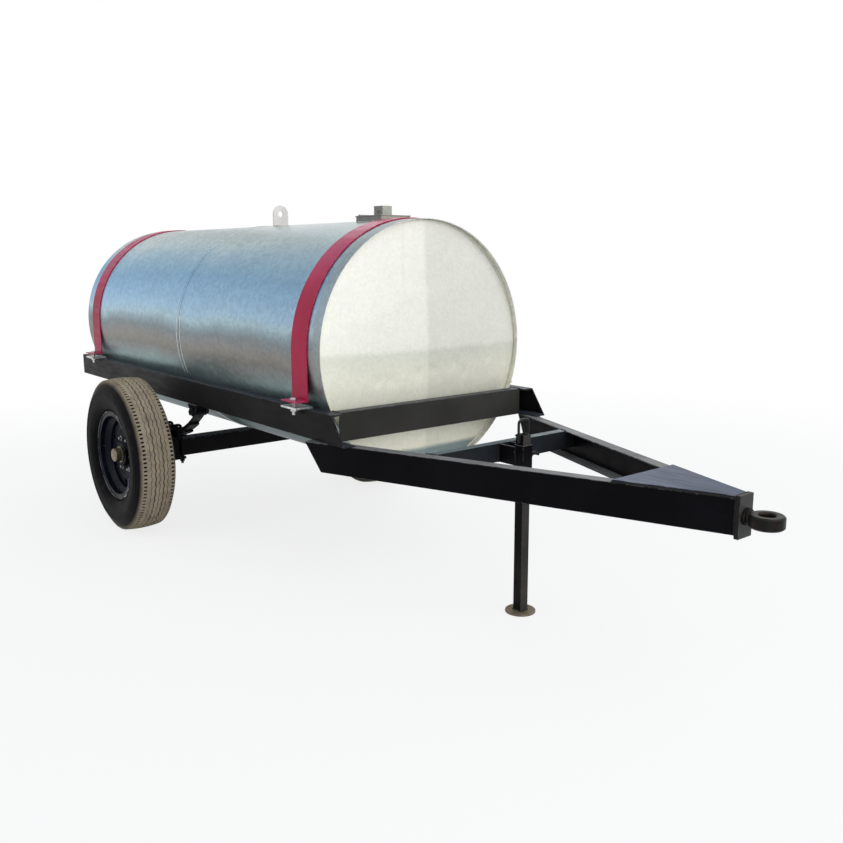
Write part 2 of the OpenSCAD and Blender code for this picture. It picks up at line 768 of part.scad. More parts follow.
module strap() {
    foot_reach = strap_bolt_y + strap_lug_edge - strap_r;
    color(strap_red) translate([-strap_width/2, 0, 0]) {
        intersection() {
            difference() {
                tank_cylinder(strap_r + strap_t, 0, strap_width);
                tank_cylinder(strap_r, -eps, strap_width + eps);
            }
            translate([-eps, -2*tank_r, tank_axis_z]) cube([strap_width + 2*eps, 4*tank_r, 2*tank_r]);
        }
        both_sides() {
            translate([0, -strap_r - strap_t, strap_foot_z])
                cube([strap_width, strap_t, tank_axis_z - strap_foot_z]);
            difference() {
                translate([0, -strap_r - foot_reach, strap_foot_z])
                    cube([strap_width, foot_reach, strap_t]);
                translate([strap_width/2, -strap_bolt_y, strap_foot_z - eps])
                    cylinder(r = strap_bolt_r + bolt_gap, h = strap_t + 2*eps);
            }
        }
    }
}
module front_strap() { translate([strap_xs[0], 0, 0]) strap(); }
module rear_strap() { translate([strap_xs[1], 0, 0]) strap(); }
module at_strap_bolts() {
    for (x = strap_xs) both_sides() translate([x, -strap_bolt_y, 0]) children();
}
module strap_lug_plates() {
    inner = strap_bolt_y - rail_outer_y + rail_w*0.6;
    color(zinc) at_strap_bolts() translate([0, 0, rail_top_z]) difference() {
        translate([-strap_width/2, -strap_lug_edge, 0])
            cube([strap_width, strap_lug_edge + inner, strap_lug_t]);
        translate([0, 0, -eps]) cylinder(r = strap_bolt_r + bolt_gap, h = strap_lug_t + 2*eps);
    }
}
module strap_bolts() {
    head_z = strap_foot_z + strap_t;
    tail_z = rail_top_z - strap_nut_h - strap_bolt_tail;
    color(zinc) at_strap_bolts() {
        translate([0, 0, tail_z]) cylinder(r = strap_bolt_r, h = head_z - tail_z + eps);
        translate([0, 0, head_z]) hex_prism(3*strap_bolt_r, strap_bolt_r*1.3);
    }
}
module strap_nuts() {
    color(zinc) at_strap_bolts() translate([0, 0, rail_top_z - strap_nut_h]) difference() {
        hex_prism(3*strap_bolt_r, strap_nut_h);
        translate([0, 0, -eps]) cylinder(r = strap_bolt_r + run_gap, h = strap_nut_h + 2*eps);
    }
}

// Outlet

module outlet_pipe() {
    inside = 30;
    color(zinc) translate([outlet_face_x - outlet_length, 0, outlet_z]) difference() {
        rod_x(outlet_r, outlet_length + inside);
        translate([-eps, 0, 0]) rod_x(outlet_r - outlet_wall, outlet_length + inside + 2*eps);
    }
}
// Ball valve with flats at its ends, a stem boss and a hose spigot
module valve_body() {
    flat_l = 16;
    across = 2*valve_r - 6;
    bore_r = outlet_r - outlet_wall;
    boss_wall = 7;
    lever_gap = 2;
    color(brass) translate([valve_x, 0, outlet_z]) difference() {
        union() {
            rotate([0, 90, 0]) translate([0, 0, -valve_half]) hex_prism(across, flat_l);
            rotate([0, 90, 0]) translate([0, 0, valve_half - flat_l]) hex_prism(across, flat_l);
            translate([flat_l - valve_half, 0, 0]) rod_x(valve_r, 2*(valve_half - flat_l));
            cylinder(r = valve_stem_r + boss_wall, h = lever_z - outlet_z - lever_gap);
            translate([-valve_half - spigot_length, 0, 0]) rod_x(outlet_r, spigot_length + eps);
        }
        sphere(r = valve_ball_r + sheet_gap);
        translate([-valve_half - spigot_length - eps, 0, 0])
            rod_x(bore_r, 2*valve_half + spigot_length + 2*eps);
        cylinder(r = valve_stem_r + run_gap, h = lever_z - outlet_z);
    }
}
// Ball bored across the pipe while the valve is shut, with its stem
module valve_ball() {
    stem_tail = 8;
    ball_wall = 8;
    color(bright_steel) translate([valve_x, 0, outlet_z]) difference() {
        union() {
            sphere(r = valve_ball_r);
            cylinder(r = valve_stem_r, h = lever_z + lever_t - outlet_z + stem_tail);
        }
        rod_y(outlet_r - outlet_wall - ball_wall, 2*valve_ball_r + 2*eps);
    }
}
module valve_lever() {
    eye_wall = 3;
    color(strap_red) translate([valve_x, 0, lever_z]) difference() {
        union() {
            cylinder(r = lever_w/2 + eye_wall, h = lever_t);
            translate([-lever_w/2, 0, 0]) cube([lever_w, lever_length - lever_w/2, lever_t]);
            translate([0, lever_length - lever_w/2, 0]) cylinder(r = lever_w/2, h = lever_t);
        }
        translate([0, 0, -eps]) cylinder(r = valve_stem_r + run_gap, h = lever_t + 2*eps);
    }
}

// Axle and springs

module axle_beam() {
    half = half_track - axle_end_gap;
    color(frame_black) translate([axle_x, half, axle_z]) rotate([90, 0, 0])
        square_tube(axle_side, axle_wall, 2*half);
}
// Turned stub: plug inside the axle tube, collar, bearing seats and thread
module spindles() {
    plug_r = axle_side/2 - axle_wall - sheet_gap;
    plug_end = -axle_end_gap;
    plug_l = 60;
    collar_r = axle_side/2 - 4;
    collar_l = 25;
    taper_l = 20;
    shoulder_at = inner_bearing[0] - sheet_gap;
    seat_edge = 4;
    thread_at = outer_bearing[1] + seat_edge - 1;
    color(bright_steel) both_sides() on_wheel() rotate_extrude() polygon([
        [0, plug_end - plug_l], [plug_r, plug_end - plug_l], [plug_r, plug_end],
        [collar_r, plug_end], [collar_r, plug_end + collar_l],
        [spindle_shoulder_r, plug_end + collar_l + taper_l], [spindle_shoulder_r, shoulder_at],
        [inner_seat_r, shoulder_at], [inner_seat_r, inner_bearing[1] + seat_edge],
        [outer_seat_r + 1, outer_bearing[0] - seat_edge], [outer_seat_r, outer_bearing[0] - seat_edge/2],
        [outer_seat_r, thread_at], [spindle_thread_r, thread_at],
        [spindle_thread_r, spindle_end], [0, spindle_end]]);
}
module hub_nuts() {
    washer_t = hub_washer[1] - hub_washer[0];
    washer_edge = 5;
    color(bright_steel) both_sides() on_wheel() translate([0, 0, hub_washer[0]]) difference() {
        union() {
            cylinder(r = outer_seat_r + washer_edge, h = washer_t);
            translate([0, 0, washer_t]) hex_prism(3*spindle_thread_r, hub_nut_h);
        }
        translate([0, 0, -eps]) cylinder(r = spindle_thread_r + run_gap, h = washer_t + hub_nut_h + 2*eps);
    }
}
// Curved strip from behind the axle to ahead of it; r is its upper face
module leaf_strip(r, rear_angle, front_angle) {
    rotate([0, 0, 270 - rear_angle]) rotate_extrude(angle = rear_angle + front_angle, $fn = 128)
        translate([r, -leaf_w/2]) square([leaf_t, leaf_w]);
}
module at_spring_eye() {
    rotate([0, 0, spring_eye_angle - 90]) translate([spring_eye_arm, 0, -leaf_w/2]) children();
}
module main_leaf() {
    color(frame_black) on_spring() difference() {
        union() {
            leaf_strip(leaf_r, leaf_tail_angle, spring_eye_angle);
            at_spring_eye() cylinder(r = spring_eye_outer, h = leaf_w);
        }
        at_spring_eye() translate([0, 0, -eps]) cylinder(r = spring_eye_r + run_gap, h = leaf_w + 2*eps);
    }
}
module short_leaves() {
    color(frame_black) on_spring() for (i = [1:leaf_count]) {
        reach = spring_eye_angle*(1 - i/(leaf_count + leaf_tip_share));
        leaf_strip(leaf_r + i*(leaf_t + sheet_gap), reach, reach);
    }
}
// Pad under the pack and block over it, both shaped to the leaves
module spring_seats() {
    length = 2*u_bolt_x + 4*u_bolt_r;
    half = leaf_w/2;
    edge = 0.9*u_bolt_r;
    color(frame_black) both_sides() {
        difference() {
            translate([axle_x - axle_side/2, -spring_y - leaf_w/2, axle_top])
                cube([axle_side, leaf_w, seat_t + leaf_t]);
            on_spring() translate([0, 0, -leaf_w])
                cylinder(r = leaf_r + pack_t, h = 2*leaf_w, $fn = 128);
        }
        intersection() {
            translate([axle_x - length/2, -spring_y, main_leaf_z]) along_x(length) polygon([
                [-half, 0], [half, 0], [half, clamp_block_h - edge], [half - edge, clamp_block_h],
                [edge - half, clamp_block_h], [-half, clamp_block_h - edge]]);
            on_spring() translate([0, 0, -leaf_w])
                cylinder(r = leaf_r - sheet_gap, h = 2*leaf_w, $fn = 128);
        }
    }
}
module at_u_bolts() {
    both_sides() for (x = [-u_bolt_x, u_bolt_x]) translate([axle_x + x, -spring_y, 0]) children();
}
module u_bolts() {
    bend = 2*u_bolt_r;
    thread_tail = 12;
    tail_z = u_plate_top_z - u_plate_t - u_bolt_nut_h - thread_tail;
    straight_z = u_bolt_top_z - bend;
    color(bright_steel) at_u_bolts() {
        both_sides() {
            translate([0, -u_bolt_arm, tail_z]) cylinder(r = u_bolt_r, h = straight_z - tail_z);
            translate([0, bend - u_bolt_arm, straight_z]) rotate([90, 0, -90]) rotate_extrude(angle = 90)
                translate([bend, 0]) circle(u_bolt_r);
        }
        translate([0, 0, u_bolt_top_z]) rod_y(u_bolt_r, 2*(u_bolt_arm - bend));
    }
}
// Clamp plates under the axle and the nuts that pull them up
module u_bolt_plates() {
    edge = 2.2*u_bolt_r;
    u_nut_z = u_plate_top_z - u_plate_t - run_gap - u_bolt_nut_h;
    size = [2*(u_bolt_x + edge), 2*(u_bolt_arm + edge), u_plate_t];
    color(frame_black) {
        difference() {
            both_sides() translate([axle_x, -spring_y, u_plate_top_z - u_plate_t/2])
                cube(size, center = true);
            at_u_bolts() both_sides() translate([0, -u_bolt_arm, u_plate_top_z - u_plate_t - eps])
                cylinder(r = u_bolt_r + bolt_gap, h = u_plate_t + 2*eps);
        }
        at_u_bolts() both_sides() translate([0, -u_bolt_arm, u_nut_z]) difference() {
            hex_prism(3*u_bolt_r, u_bolt_nut_h);
            translate([0, 0, -eps]) cylinder(r = u_bolt_r + run_gap, h = u_bolt_nut_h + 2*eps);
        }
    }
}
// Two cheeks under a top plate, drawn from the rail down to the pin at p
module hanger_cheeks(x, p, pin_r) {
    low = pin_r + cheek_edge;
    plate_z = rail_bottom_z - hanger_t;
    width = 2*(hanger_y + hanger_t);
    translate([x - hanger_half, -spring_y - width/2, plate_z]) cube([2*hanger_half, width, hanger_t]);
    for (side = [-1, 1]) translate([0, side*(hanger_y + hanger_t/2) - spring_y, 0])
        difference() {
            union() {
                along_y(hanger_t) polygon([
                    [x - hanger_half, plate_z + hanger_t/2], [x + hanger_half, plate_z + hanger_t/2],
                    [p[0] + low, p[1]], [p[0] - low, p[1]]]);
                translate([p[0], 0, p[1]]) rod_y(low, hanger_t);
            }
            translate([p[0], 0, p[1]]) rod_y(pin_r + bolt_gap, hanger_t + 2*eps);
        }
}
module spring_hangers() {
    eye_at = [axle_x + spring_reach, spring_eye_z];
    color(frame_black) both_sides() {
        hanger_cheeks(eye_at[0], eye_at, spring_eye_r);
        hanger_cheeks(slipper_at[0], keeper_at, keeper_r);
        translate([slipper_at[0], -spring_y, 0]) intersection() {
            translate([0, 0, slipper_at[1]]) {
                rod_y(slipper_r, 2*hanger_y);
                translate([-slipper_r, -hanger_y, 0]) cube([2*slipper_r, 2*hanger_y, slipper_r]);
            }
            translate([-slipper_r, -hanger_y, 0])
                cube([2*slipper_r, 2*hanger_y, rail_bottom_z - hanger_t/2]);
        }
    }
}
module spring_pins() {
    length = 2*(hanger_y + hanger_t);
    head = 12;
    eye_pin = [axle_x + spring_reach, spring_eye_z, spring_eye_r];
    keeper_pin = [keeper_at[0], keeper_at[1], keeper_r];
    color(bright_steel) both_sides() for (pin = [eye_pin, keeper_pin])
        translate([pin[0], -spring_y, pin[1]]) {
            rod_y(pin[2], length);
            translate([0, -length/2, 0]) rotate([90, 0, 0]) hex_prism(3*pin[2], head);
            translate([0, length/2, 0]) rotate([-90, 0, 0]) hex_prism(3*pin[2], head);
        }
}

// Wheels, drawn along the spindle with z outwards

module hub() {
    edge = 4;
    root = 10;
    race_lip = 5;
    color(frame_black) on_wheel() difference() {
        rotate_extrude() polygon([
            [inner_race_r + run_gap, hub_back], [hub_r - edge, hub_back], [hub_r, hub_back + edge],
            [hub_r, -hub_flange_t - root], [hub_r + root, -hub_flange_t], [hub_flange_r, -hub_flange_t],
            [hub_flange_r, 0], [hub_r, 0], [hub_r, hub_front - edge], [hub_r - edge, hub_front],
            [outer_race_r + run_gap, hub_front], [outer_race_r + run_gap, outer_bearing[0]],
            [outer_race_r - race_lip, outer_bearing[0]], [outer_race_r - race_lip, inner_bearing[1]],
            [inner_race_r + run_gap, inner_bearing[1]]]);
        for (i = [1:stud_count]) rotate([0, 0, i*360/stud_count])
            translate([stud_circle_r, 0, -hub_flange_t - eps])
                cylinder(r = stud_r + run_gap, h = hub_flange_t + 2*eps);
    }
}
module bearing(seat_r, race_r, span) {
    translate([0, 0, span[0]]) difference() {
        cylinder(r = race_r, h = span[1] - span[0]);
        translate([0, 0, -eps]) cylinder(r = seat_r + run_gap, h = span[1] - span[0] + 2*eps);
    }
}
module hub_bearings() {
    color(bright_steel) on_wheel() {
        bearing(inner_seat_r, inner_race_r, inner_bearing);
        bearing(outer_seat_r, outer_race_r, outer_bearing);
    }
}
module grease_cap() {
    wall = 3;
    r = outer_race_r + 3;
    dome = 8;
    foot_r = r + 7;
    foot_t = 4;
    color(brass) on_wheel() translate([0, 0, hub_front]) rotate_extrude() polygon([
        [r - wall, 0], [foot_r, 0], [foot_r, foot_t], [r, foot_t], [r, cap_length - dome],
        [r - dome/3, cap_length - dome/3], [r - dome, cap_length], [0, cap_length + 1],
        [0, cap_length - wall], [r - dome, cap_length - wall], [r - wall, cap_length - dome - wall]]);
}
// Half of the drop-centre rim's outer face, from the well to the flange tip
function rim_face() = [
    [rim_well_r, rim_well_half], [rim_seat_r - rim_seat_fall, rim_width/2 - rim_seat_w],
    [rim_seat_r, rim_width/2], [rim_seat_r + rim_flange, rim_width/2]];
function rim_back() = [
    [rim_seat_r + rim_flange, rim_width/2 + rim_t], [rim_seat_r - rim_t, rim_width/2 + rim_t],
    [rim_seat_r - rim_t - rim_seat_fall, rim_width/2 - rim_seat_w + 2],
    [rim_well_r - rim_t, rim_well_half + 4]];
function both_ways(points) = concat(
    points, [for (i = [len(points) - 1:-1:0]) [points[i][0], -points[i][1]]]);
module wheel_rim() {
    well_r = rim_well_r - rim_t;
    lip_at = [rim_seat_r + rim_flange - rim_lip_r + rim_t/2, rim_width/2 + rim_lip_r];
    pilot_r = hub_r + pilot_gap;
    seat_edge = stud_circle_r + disc_seat_edge;
    hand_r = (seat_edge + well_r)/2;
    slope = (well_r - seat_edge)/2 - hand_hole_r - hand_hole_edge;
    back_slope = slope + 2;
    foot = disc_foot;
    dish = disc_dish;
    color(rim_blue) on_wheel() difference() {
        rotate_extrude() union() {
            polygon(both_ways(concat(rim_face(), rim_back())));
            translate(lip_at) circle(rim_lip_r);
            translate([lip_at[0], -lip_at[1]]) circle(rim_lip_r);
            polygon([
                [pilot_r, 0], [seat_edge + 2, 0], [seat_edge + back_slope, dish - disc_t],
                [well_r - back_slope, dish - disc_t], [well_r - 2, foot], [well_r + eps, foot],
                [well_r + eps, foot + disc_t], [well_r, foot + disc_t], [well_r - slope, dish],
                [seat_edge + slope, dish], [seat_edge, disc_t], [pilot_r, disc_t]]);
        }
        for (i = [1:stud_count]) rotate([0, 0, i*360/stud_count])
            translate([stud_circle_r, 0, -eps]) cylinder(r = stud_r + 2*bolt_gap, h = disc_t + 2*eps);
        for (i = [1:hand_hole_count]) rotate([0, 0, (i + 0.5)*360/hand_hole_count])
            translate([hand_r, 0, -eps]) cylinder(r = hand_hole_r, h = dish + 2*eps);
    }
}
// Side wall of the tyre as an arc of an ellipse, from the bead up to the shoulder
function side_wall(inset) = [
    for (i = [0:10])
        let (a = wall_from + wall_step*i)
        [bulge_r + (bulge_rise - inset)*sin(a), bulge_s + (tyre_w/2 - bulge_s - inset)*cos(a)]];
// Crown of the tread, from the shoulder's edge to the flat middle
function crown(r, half) = [
    for (i = [0:4])
        let (s = half*(1 - i/4.5))
        [r - crown_drop*pow(s/half, 2), s]];
// Section through the beads that sit in the rim's corners, the side walls and the tread
module tyre_section() {
    bead_top = rim_seat_r + rim_flange + rim_t;
    bead_foot = rim_seat_r + sheet_gap;
    seat = rim_width/2 - sheet_gap;
    heel = [[bead_foot, seat], [bead_top, seat]];
    toe = [[bead_foot, seat - bead_w], [bead_top, seat - bead_w*0.8]];
    outer = concat(heel, side_wall(0), crown(tyre_d/2, tread_half));
    inner = concat(toe, side_wall(tyre_wall), crown(tyre_d/2 - tread_t, tread_half - tyre_wall));
    polygon(concat(both_ways(outer), both_ways([for (p = inner) [p[0], -p[1]]])));
}
module tyre() {
    pitch = groove_span/(groove_count - 1);
    color(rubber) on_wheel() rotate_extrude($fn = 128) difference() {
        tyre_section();
        for (i = [0:groove_count - 1])
            translate([tyre_d/2 - groove_depth, (i - (groove_count - 1)/2)*pitch - groove_w/2])
                square([groove_depth + eps, groove_w]);
    }
}
module wheel_studs() {
    color(bright_steel) on_wheel() for (i = [1:stud_count]) rotate([0, 0, i*360/stud_count])
        translate([stud_circle_r, 0, 0]) {
            translate([0, 0, -hub_flange_t - stud_back])
                cylinder(r = stud_r, h = hub_flange_t + stud_back + stud_front);
            translate([0, 0, disc_t]) hex_prism(3.2*stud_r, wheel_nut_h);
        }
}

// Assembly

home() side_rail();  // side_rail_right
home() other_side() side_rail();  // side_rail_left
home() front_cross_beam();
home() rear_cross_beam();
home() drawbar_beam();  // drawbar_beam_right
home() other_side() drawbar_beam();  // drawbar_beam_left
home() drawbar_cross_member();
home() drawbar_gusset_plate();
home() drawbar_end_plate();
home() towing_eye();
home() towing_eye_nut();
home() stand_sleeve();
home() stand_leg();
home() stand_foot();
home() stand_handle();
home() stand_clamp_screw();
home() tank_shell_front();
home() tank_shell_rear();
home() tank_seam_strip();
home() tank_front_end();
home() tank_rear_end();
home() tank_baffle();
home() hatch_neck();
home() hatch_lid();
home() hatch_vent_box();
home() hatch_hinge_pin();
home() lifting_lug();
home() front_strap();
home() rear_strap();
home() strap_lug_plates();
home() strap_bolts();
home() strap_nuts();
home() outlet_pipe();
home() valve_body();
home() valve_ball();
home() valve_lever();
home() axle_beam();
home() spindles();
home() hub_nuts();
home() spring_hangers();
home() spring_pins();
home() main_leaf();  // main_leaf_right
home() other_side() main_leaf();  // main_leaf_left
home() short_leaves();  // short_leaves_right
home() other_side() short_leaves();  // short_leaves_left
home() spring_seats();
home() u_bolts();
home() u_bolt_plates();
home() hub();  // hub_right
home() other_side() hub();  // hub_left
home() hub_bearings();  // hub_bearings_right
home() other_side() hub_bearings();  // hub_bearings_left
home() grease_cap();  // grease_cap_right
home() other_side() grease_cap();  // grease_cap_left
home() wheel_rim();  // wheel_rim_right
home() other_side() wheel_rim();  // wheel_rim_left
home() tyre();  // tyre_right
home() other_side() tyre();  // tyre_left
home() wheel_studs();  // wheel_studs_right
home() other_side() wheel_studs();  // wheel_studs_left
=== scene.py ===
"""Looks of the wheeled water bowser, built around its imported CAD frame."""

import json
import math

import bmesh
import bpy
from mathutils import Matrix, Vector, noise


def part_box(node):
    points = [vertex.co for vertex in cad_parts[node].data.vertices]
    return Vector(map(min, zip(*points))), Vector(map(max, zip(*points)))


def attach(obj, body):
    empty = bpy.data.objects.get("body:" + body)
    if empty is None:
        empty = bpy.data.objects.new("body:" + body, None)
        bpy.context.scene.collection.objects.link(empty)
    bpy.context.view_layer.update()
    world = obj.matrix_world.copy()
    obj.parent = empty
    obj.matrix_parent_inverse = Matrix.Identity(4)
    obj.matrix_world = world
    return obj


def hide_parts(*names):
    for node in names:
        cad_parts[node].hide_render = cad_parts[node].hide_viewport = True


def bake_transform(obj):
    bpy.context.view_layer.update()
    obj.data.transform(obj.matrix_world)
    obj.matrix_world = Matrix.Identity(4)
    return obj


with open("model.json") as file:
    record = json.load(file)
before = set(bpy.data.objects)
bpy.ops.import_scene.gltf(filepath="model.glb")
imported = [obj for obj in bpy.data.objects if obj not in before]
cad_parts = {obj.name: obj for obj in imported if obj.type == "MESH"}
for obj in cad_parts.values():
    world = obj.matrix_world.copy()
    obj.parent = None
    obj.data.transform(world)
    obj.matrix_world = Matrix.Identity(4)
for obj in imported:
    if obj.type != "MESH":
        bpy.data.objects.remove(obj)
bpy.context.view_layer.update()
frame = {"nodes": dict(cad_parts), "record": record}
record = frame["record"]
BODY_OF = {node: body for body, nodes in record["behaviour"]["bodies"].items() for node in nodes}
JOINTS = {joint["name"]: joint for joint in record["behaviour"]["joints"]}
MM = 0.001

# Rounded edges: steps of a rounding, and the least angle in degrees of an edge that gets one
EDGE_STEPS = 2
LEAST_FOLD = 28

# The tank's axis height, radius and front rim
shell_low, shell_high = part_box("tank_shell_front")
TANK_Z = (shell_low[2] + shell_high[2])/2
TANK_R = (shell_high[1] - shell_low[1])/2
TANK_RIM = shell_high[0]

# Distances behind the rim between which a painted shade darkens the shell's zinc towards the front, with
# painted light towards the rear
PAINTED_SHADE_SPAN = (2.2, 0.3)

# Sizes of the tyre, in metres, as the CAD solid has them
TYRE_R = 0.3825
TYRE_HALF = 0.1025
TREAD_HALF = 0.076
TREAD_T = 0.026
TYRE_WALL = 0.013
CROWN_DROP = 0.006
BEAD_R = 0.2033
BEAD_TOP = 0.227
BEAD_SEAT = 0.0707
BULGE_R = 0.29775
BULGE_RISE = 0.0718
BULGE_S = 0.068
WALL_ARC = (-70, 60)
BEAD_WIDTH = 0.02
BEAD_TOP_WIDTH = 0.016

# Tread pattern: each groove's offset, half width and depth, the slots beside the shoulder, the pitches round
# the tyre, where a pitch has points and an open slot, and the swing of the grooves
TREAD_LINES = ((0.040, 0.0016, 0.003), (0.02027, 0.0032, 0.006), (0.0, 0.0016, 0.003),
               (-0.02027, 0.0032, 0.006), (-0.040, 0.0016, 0.003))
SLOT_ROW = (0.0595, 0.0752)
SLOT_DEPTH = 0.0075
SLOT_SLOPE = 0.001
GROOVE_SLOPE = 0.0006
TREAD_PITCHES = 120
PITCH_POINTS = ((0.0, 0.0), (0.50, 0.0), (0.56, 1.0), (0.94, 1.0))
ZIGZAG = 0.0026

# Moulded rings of the tyre wall: radius, half width and height
WALL_RINGS = ((0.2445, 0.0035, 0.0016), (0.262, 0.0012, 0.0010), (0.3115, 0.0012, 0.0010),
              (0.3265, 0.0040, 0.0013))
RING_EDGE = 0.0004

# Radius where the tyre wall's dust begins, and over what height it closes
DUST_FROM = 0.357
DUST_FADE = 0.014

# End panels: rise of the crossed breaks and its reach in radii, turned flange, softness of the creases,
# sheet, points and waves
PANEL_RISE = 0.045
PANEL_REACH = 1.45
PANEL_FLANGE = 0.025
CREASE_SOFT = 0.011
PANEL_SHEET = 0.003
PANEL_CLEAR = 0.0035
PANEL_TURNS = 192
PANEL_STEPS = 56
SLOW_WAVE, SLOW_HEIGHT = 3.1, 0.0022
FINE_WAVE, FINE_HEIGHT = 9.0, 0.0009
CALM_EDGE = 0.08

# Small dents of the front panel: offsets from its middle, radius and depth
DENTS = ((-0.250, -0.117, 0.024, 0.0036), (-0.186, -0.122, 0.020, 0.0030), (-0.055, -0.097, 0.026, 0.0036),
         (0.032, -0.091, 0.026, 0.0040), (0.155, -0.075, 0.032, 0.0040), (0.213, -0.119, 0.024, 0.0036))

# Drawbar corners in plan, as the CAD solid has them
BAR_REAR = (0.5215, 0.5827)
BAR_TIP = (2.0385, 0.035)
GUSSET_BACK = 1.6785

# Weld places on the frame and drawbar that no box gives, along the trailer or across it
WELD_END = 0.003
RAIL_SEAT = (0.54, 0.63)
BAR_SEAT = (0.64, 0.728)
BEAM_SEAT_X = 0.7315
BEAM_SEAT_Y = (0.489, 0.506)
MEMBER_SEAT = (0.994, 1.029)
FLANGE_INSET = 0.0535
WEB_INSET = 0.0075
TIP_SEAM_Y = 0.0352
TIP_TOP_Y = 0.029
SLEEVE_LENGTH = 0.082
SPINDLE_SEAT_R = 0.0412
SEAT_WIDTH = 0.05

# Runs on the tank: half the seam strip's width, arcs and points of its solder, inset of the sealant
SEAM_HALF = 0.0165
SOLDER_ARCS = ((-111.0, 111.0, 120), (119.0, 241.0, 60))
SEALANT_INSET = 0.028

# Places of the strap bolts, their thread above and below the nut, the springs and the hatch
STRAP_BOLT_X = (0.4165, -1.8635)
STRAP_BOLT_Y = 0.5627
THREAD_TOP_Z = 0.779
THREAD_TAIL_Z = 0.7430
SPRING_Y = 0.5147
U_BOLT_R = 0.007
HATCH_X = 0.2625

# Camera of the photograph: its size and focal length in pixels, its place and its angles in degrees
PHOTO_SIZE = 843.0
PHOTO_FOCUS = 885.66
SENSOR = 36.0
CAMERA_AT = (3.41752, -2.34107, 1.3633)
CAMERA_YAW = 141.038
CAMERA_PITCH = 10.663
CAMERA_ROLL = -0.185

# Soft lamps: place, aim, width and power
LAMPS = {
    "key": ((5.6, 0.6, 4.6), (0.5, 0.0, 0.9), 9.5, 248.0),
    "side": ((-0.8, -6.2, 5.2), (-0.6, 0.0, 0.8), 5.6, 76.0),
    "back": ((-4.6, 4.2, 4.6), (-0.6, 0.0, 0.9), 6.0, 94.0)}

# Floor: half its width, and the distances and shares between which its shadow fades into white
FLOOR_HALF = 60.0
FLOOR_SHADE = (2.2, 6.0, 0.80, 1.0)


# Mesh helpers

def arc_angles(first, last, steps):
    """Even row of angles between two, which are given in degrees."""
    return [math.radians(first + (last - first)*i/steps) for i in range(steps + 1)]


def new_object(name, mesh):
    """Puts a mesh into the scene under a name."""
    obj = bpy.data.objects.new(name, mesh)
    bpy.context.scene.collection.objects.link(obj)
    return obj


def bake_modifiers(obj):
    """Turns an object's modifiers into a plain mesh."""
    graph = bpy.context.evaluated_depsgraph_get()
    solid = obj.evaluated_get(graph)
    mesh = bpy.data.meshes.new_from_object(solid, preserve_all_data_layers=True, depsgraph=graph)
    old = obj.data
    obj.modifiers.clear()
    obj.data = mesh
    bpy.data.meshes.remove(old)
    return obj


def paint(obj, finish):
    """Gives an object one finish."""
    obj.data.materials.clear()
    obj.data.materials.append(finish)


def settle(obj, body):
    """Lets a piece ride on its body."""
    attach(obj, body)


def stand_for(obj, node, finish):
    """Paints a piece and lets it ride in place of a CAD node."""
    paint(obj, finish)
    settle(obj, BODY_OF[node])
    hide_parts(node)


def mesh_of(node):
    """Merged copy of a CAD node's mesh, with its flat faces joined again."""
    bm = bmesh.new()
    bm.from_mesh(frame["nodes"][node].data)
    bmesh.ops.remove_doubles(bm, verts=bm.verts, dist=0.02*MM)
    bmesh.ops.dissolve_limit(bm, angle_limit=math.radians(0.6), verts=bm.verts, edges=bm.edges)
    return bm


def round_edges(bm, width):
    """Rounds the convex edges and marks the rounded faces for the finishes that wear there."""
    worn = bm.faces.layers.float.new("edge_wear")
    if width:
        limit = math.radians(LEAST_FOLD)
        folds = [edge for edge in bm.edges if len(edge.link_faces) == 2 and edge.is_convex]
        sharp = [edge for edge in folds if edge.calc_face_angle() > limit]
        done = bmesh.ops.bevel(bm, geom=sharp, offset=width, offset_type="OFFSET", segments=EDGE_STEPS,
                               profile=0.5, affect="EDGES", clamp_overlap=True)
        for face in done["faces"]:
            face[worn] = 1.0


def smooth_object(bm, name):
    """Makes an object of a bmesh, with all its faces smooth."""
    for face in bm.faces:
        face.smooth = True
    mesh = bpy.data.meshes.new(name)
    bm.to_mesh(mesh)
    bm.free()
    return new_object(name, mesh)


def finish_mesh(bm, name, crease=38):
    """Makes an object of a bmesh, smooth apart from edges sharper than the crease."""
    obj = smooth_object(bm, name)
    obj.data.set_sharp_from_angle(angle=math.radians(crease))
    even = obj.modifiers.new("even", "WEIGHTED_NORMAL")
    even.keep_sharp = True
    even.weight = 80
    return bake_modifiers(obj)


def dress(node, finish, width):
    """Rounds a CAD node's edges, by a width in millimetres, and lets the rounded copy stand for it."""
    bm = mesh_of(node)
    round_edges(bm, width*MM)
    stand_for(finish_mesh(bm, node + "_finished"), node, finish)


# Node helpers

def add(tree, kind, inputs=None, **settings):
    """Adds a node, with its settings and its inputs by name or number."""
    node = tree.nodes.new(kind)
    for key, value in settings.items():
        setattr(node, key, value)
    for key, value in (inputs or {}).items():
        feed(tree, node.inputs[key], value)
    return node


def feed(tree, socket, source):
    """Sets a socket from a value or from another socket."""
    if isinstance(source, bpy.types.NodeSocket):
        tree.links.new(source, socket)
    else:
        socket.default_value = source


def calc(tree, operation, a, b=0.0, clamp=False):
    """Result of a Math node."""
    return add(tree, "ShaderNodeMath", {0: a, 1: b}, operation=operation, use_clamp=clamp).outputs[0]


def times(tree, a, b, clamp=False):
    """Product of two values."""
    return calc(tree, "MULTIPLY", a, b, clamp)


def plus(tree, a, b, clamp=False):
    """Sum of two values."""
    return calc(tree, "ADD", a, b, clamp)


def greater(tree, a, b, clamp=False):
    """Larger of two values."""
    return calc(tree, "MAXIMUM", a, b, clamp)


def blend_colours(tree, factor, first, second, kind="MIX"):
    """Result of mixing two colours."""
    inputs = {0: factor, 6: first, 7: second}
    return add(tree, "ShaderNodeMix", inputs, data_type="RGBA", blend_type=kind).outputs[2]


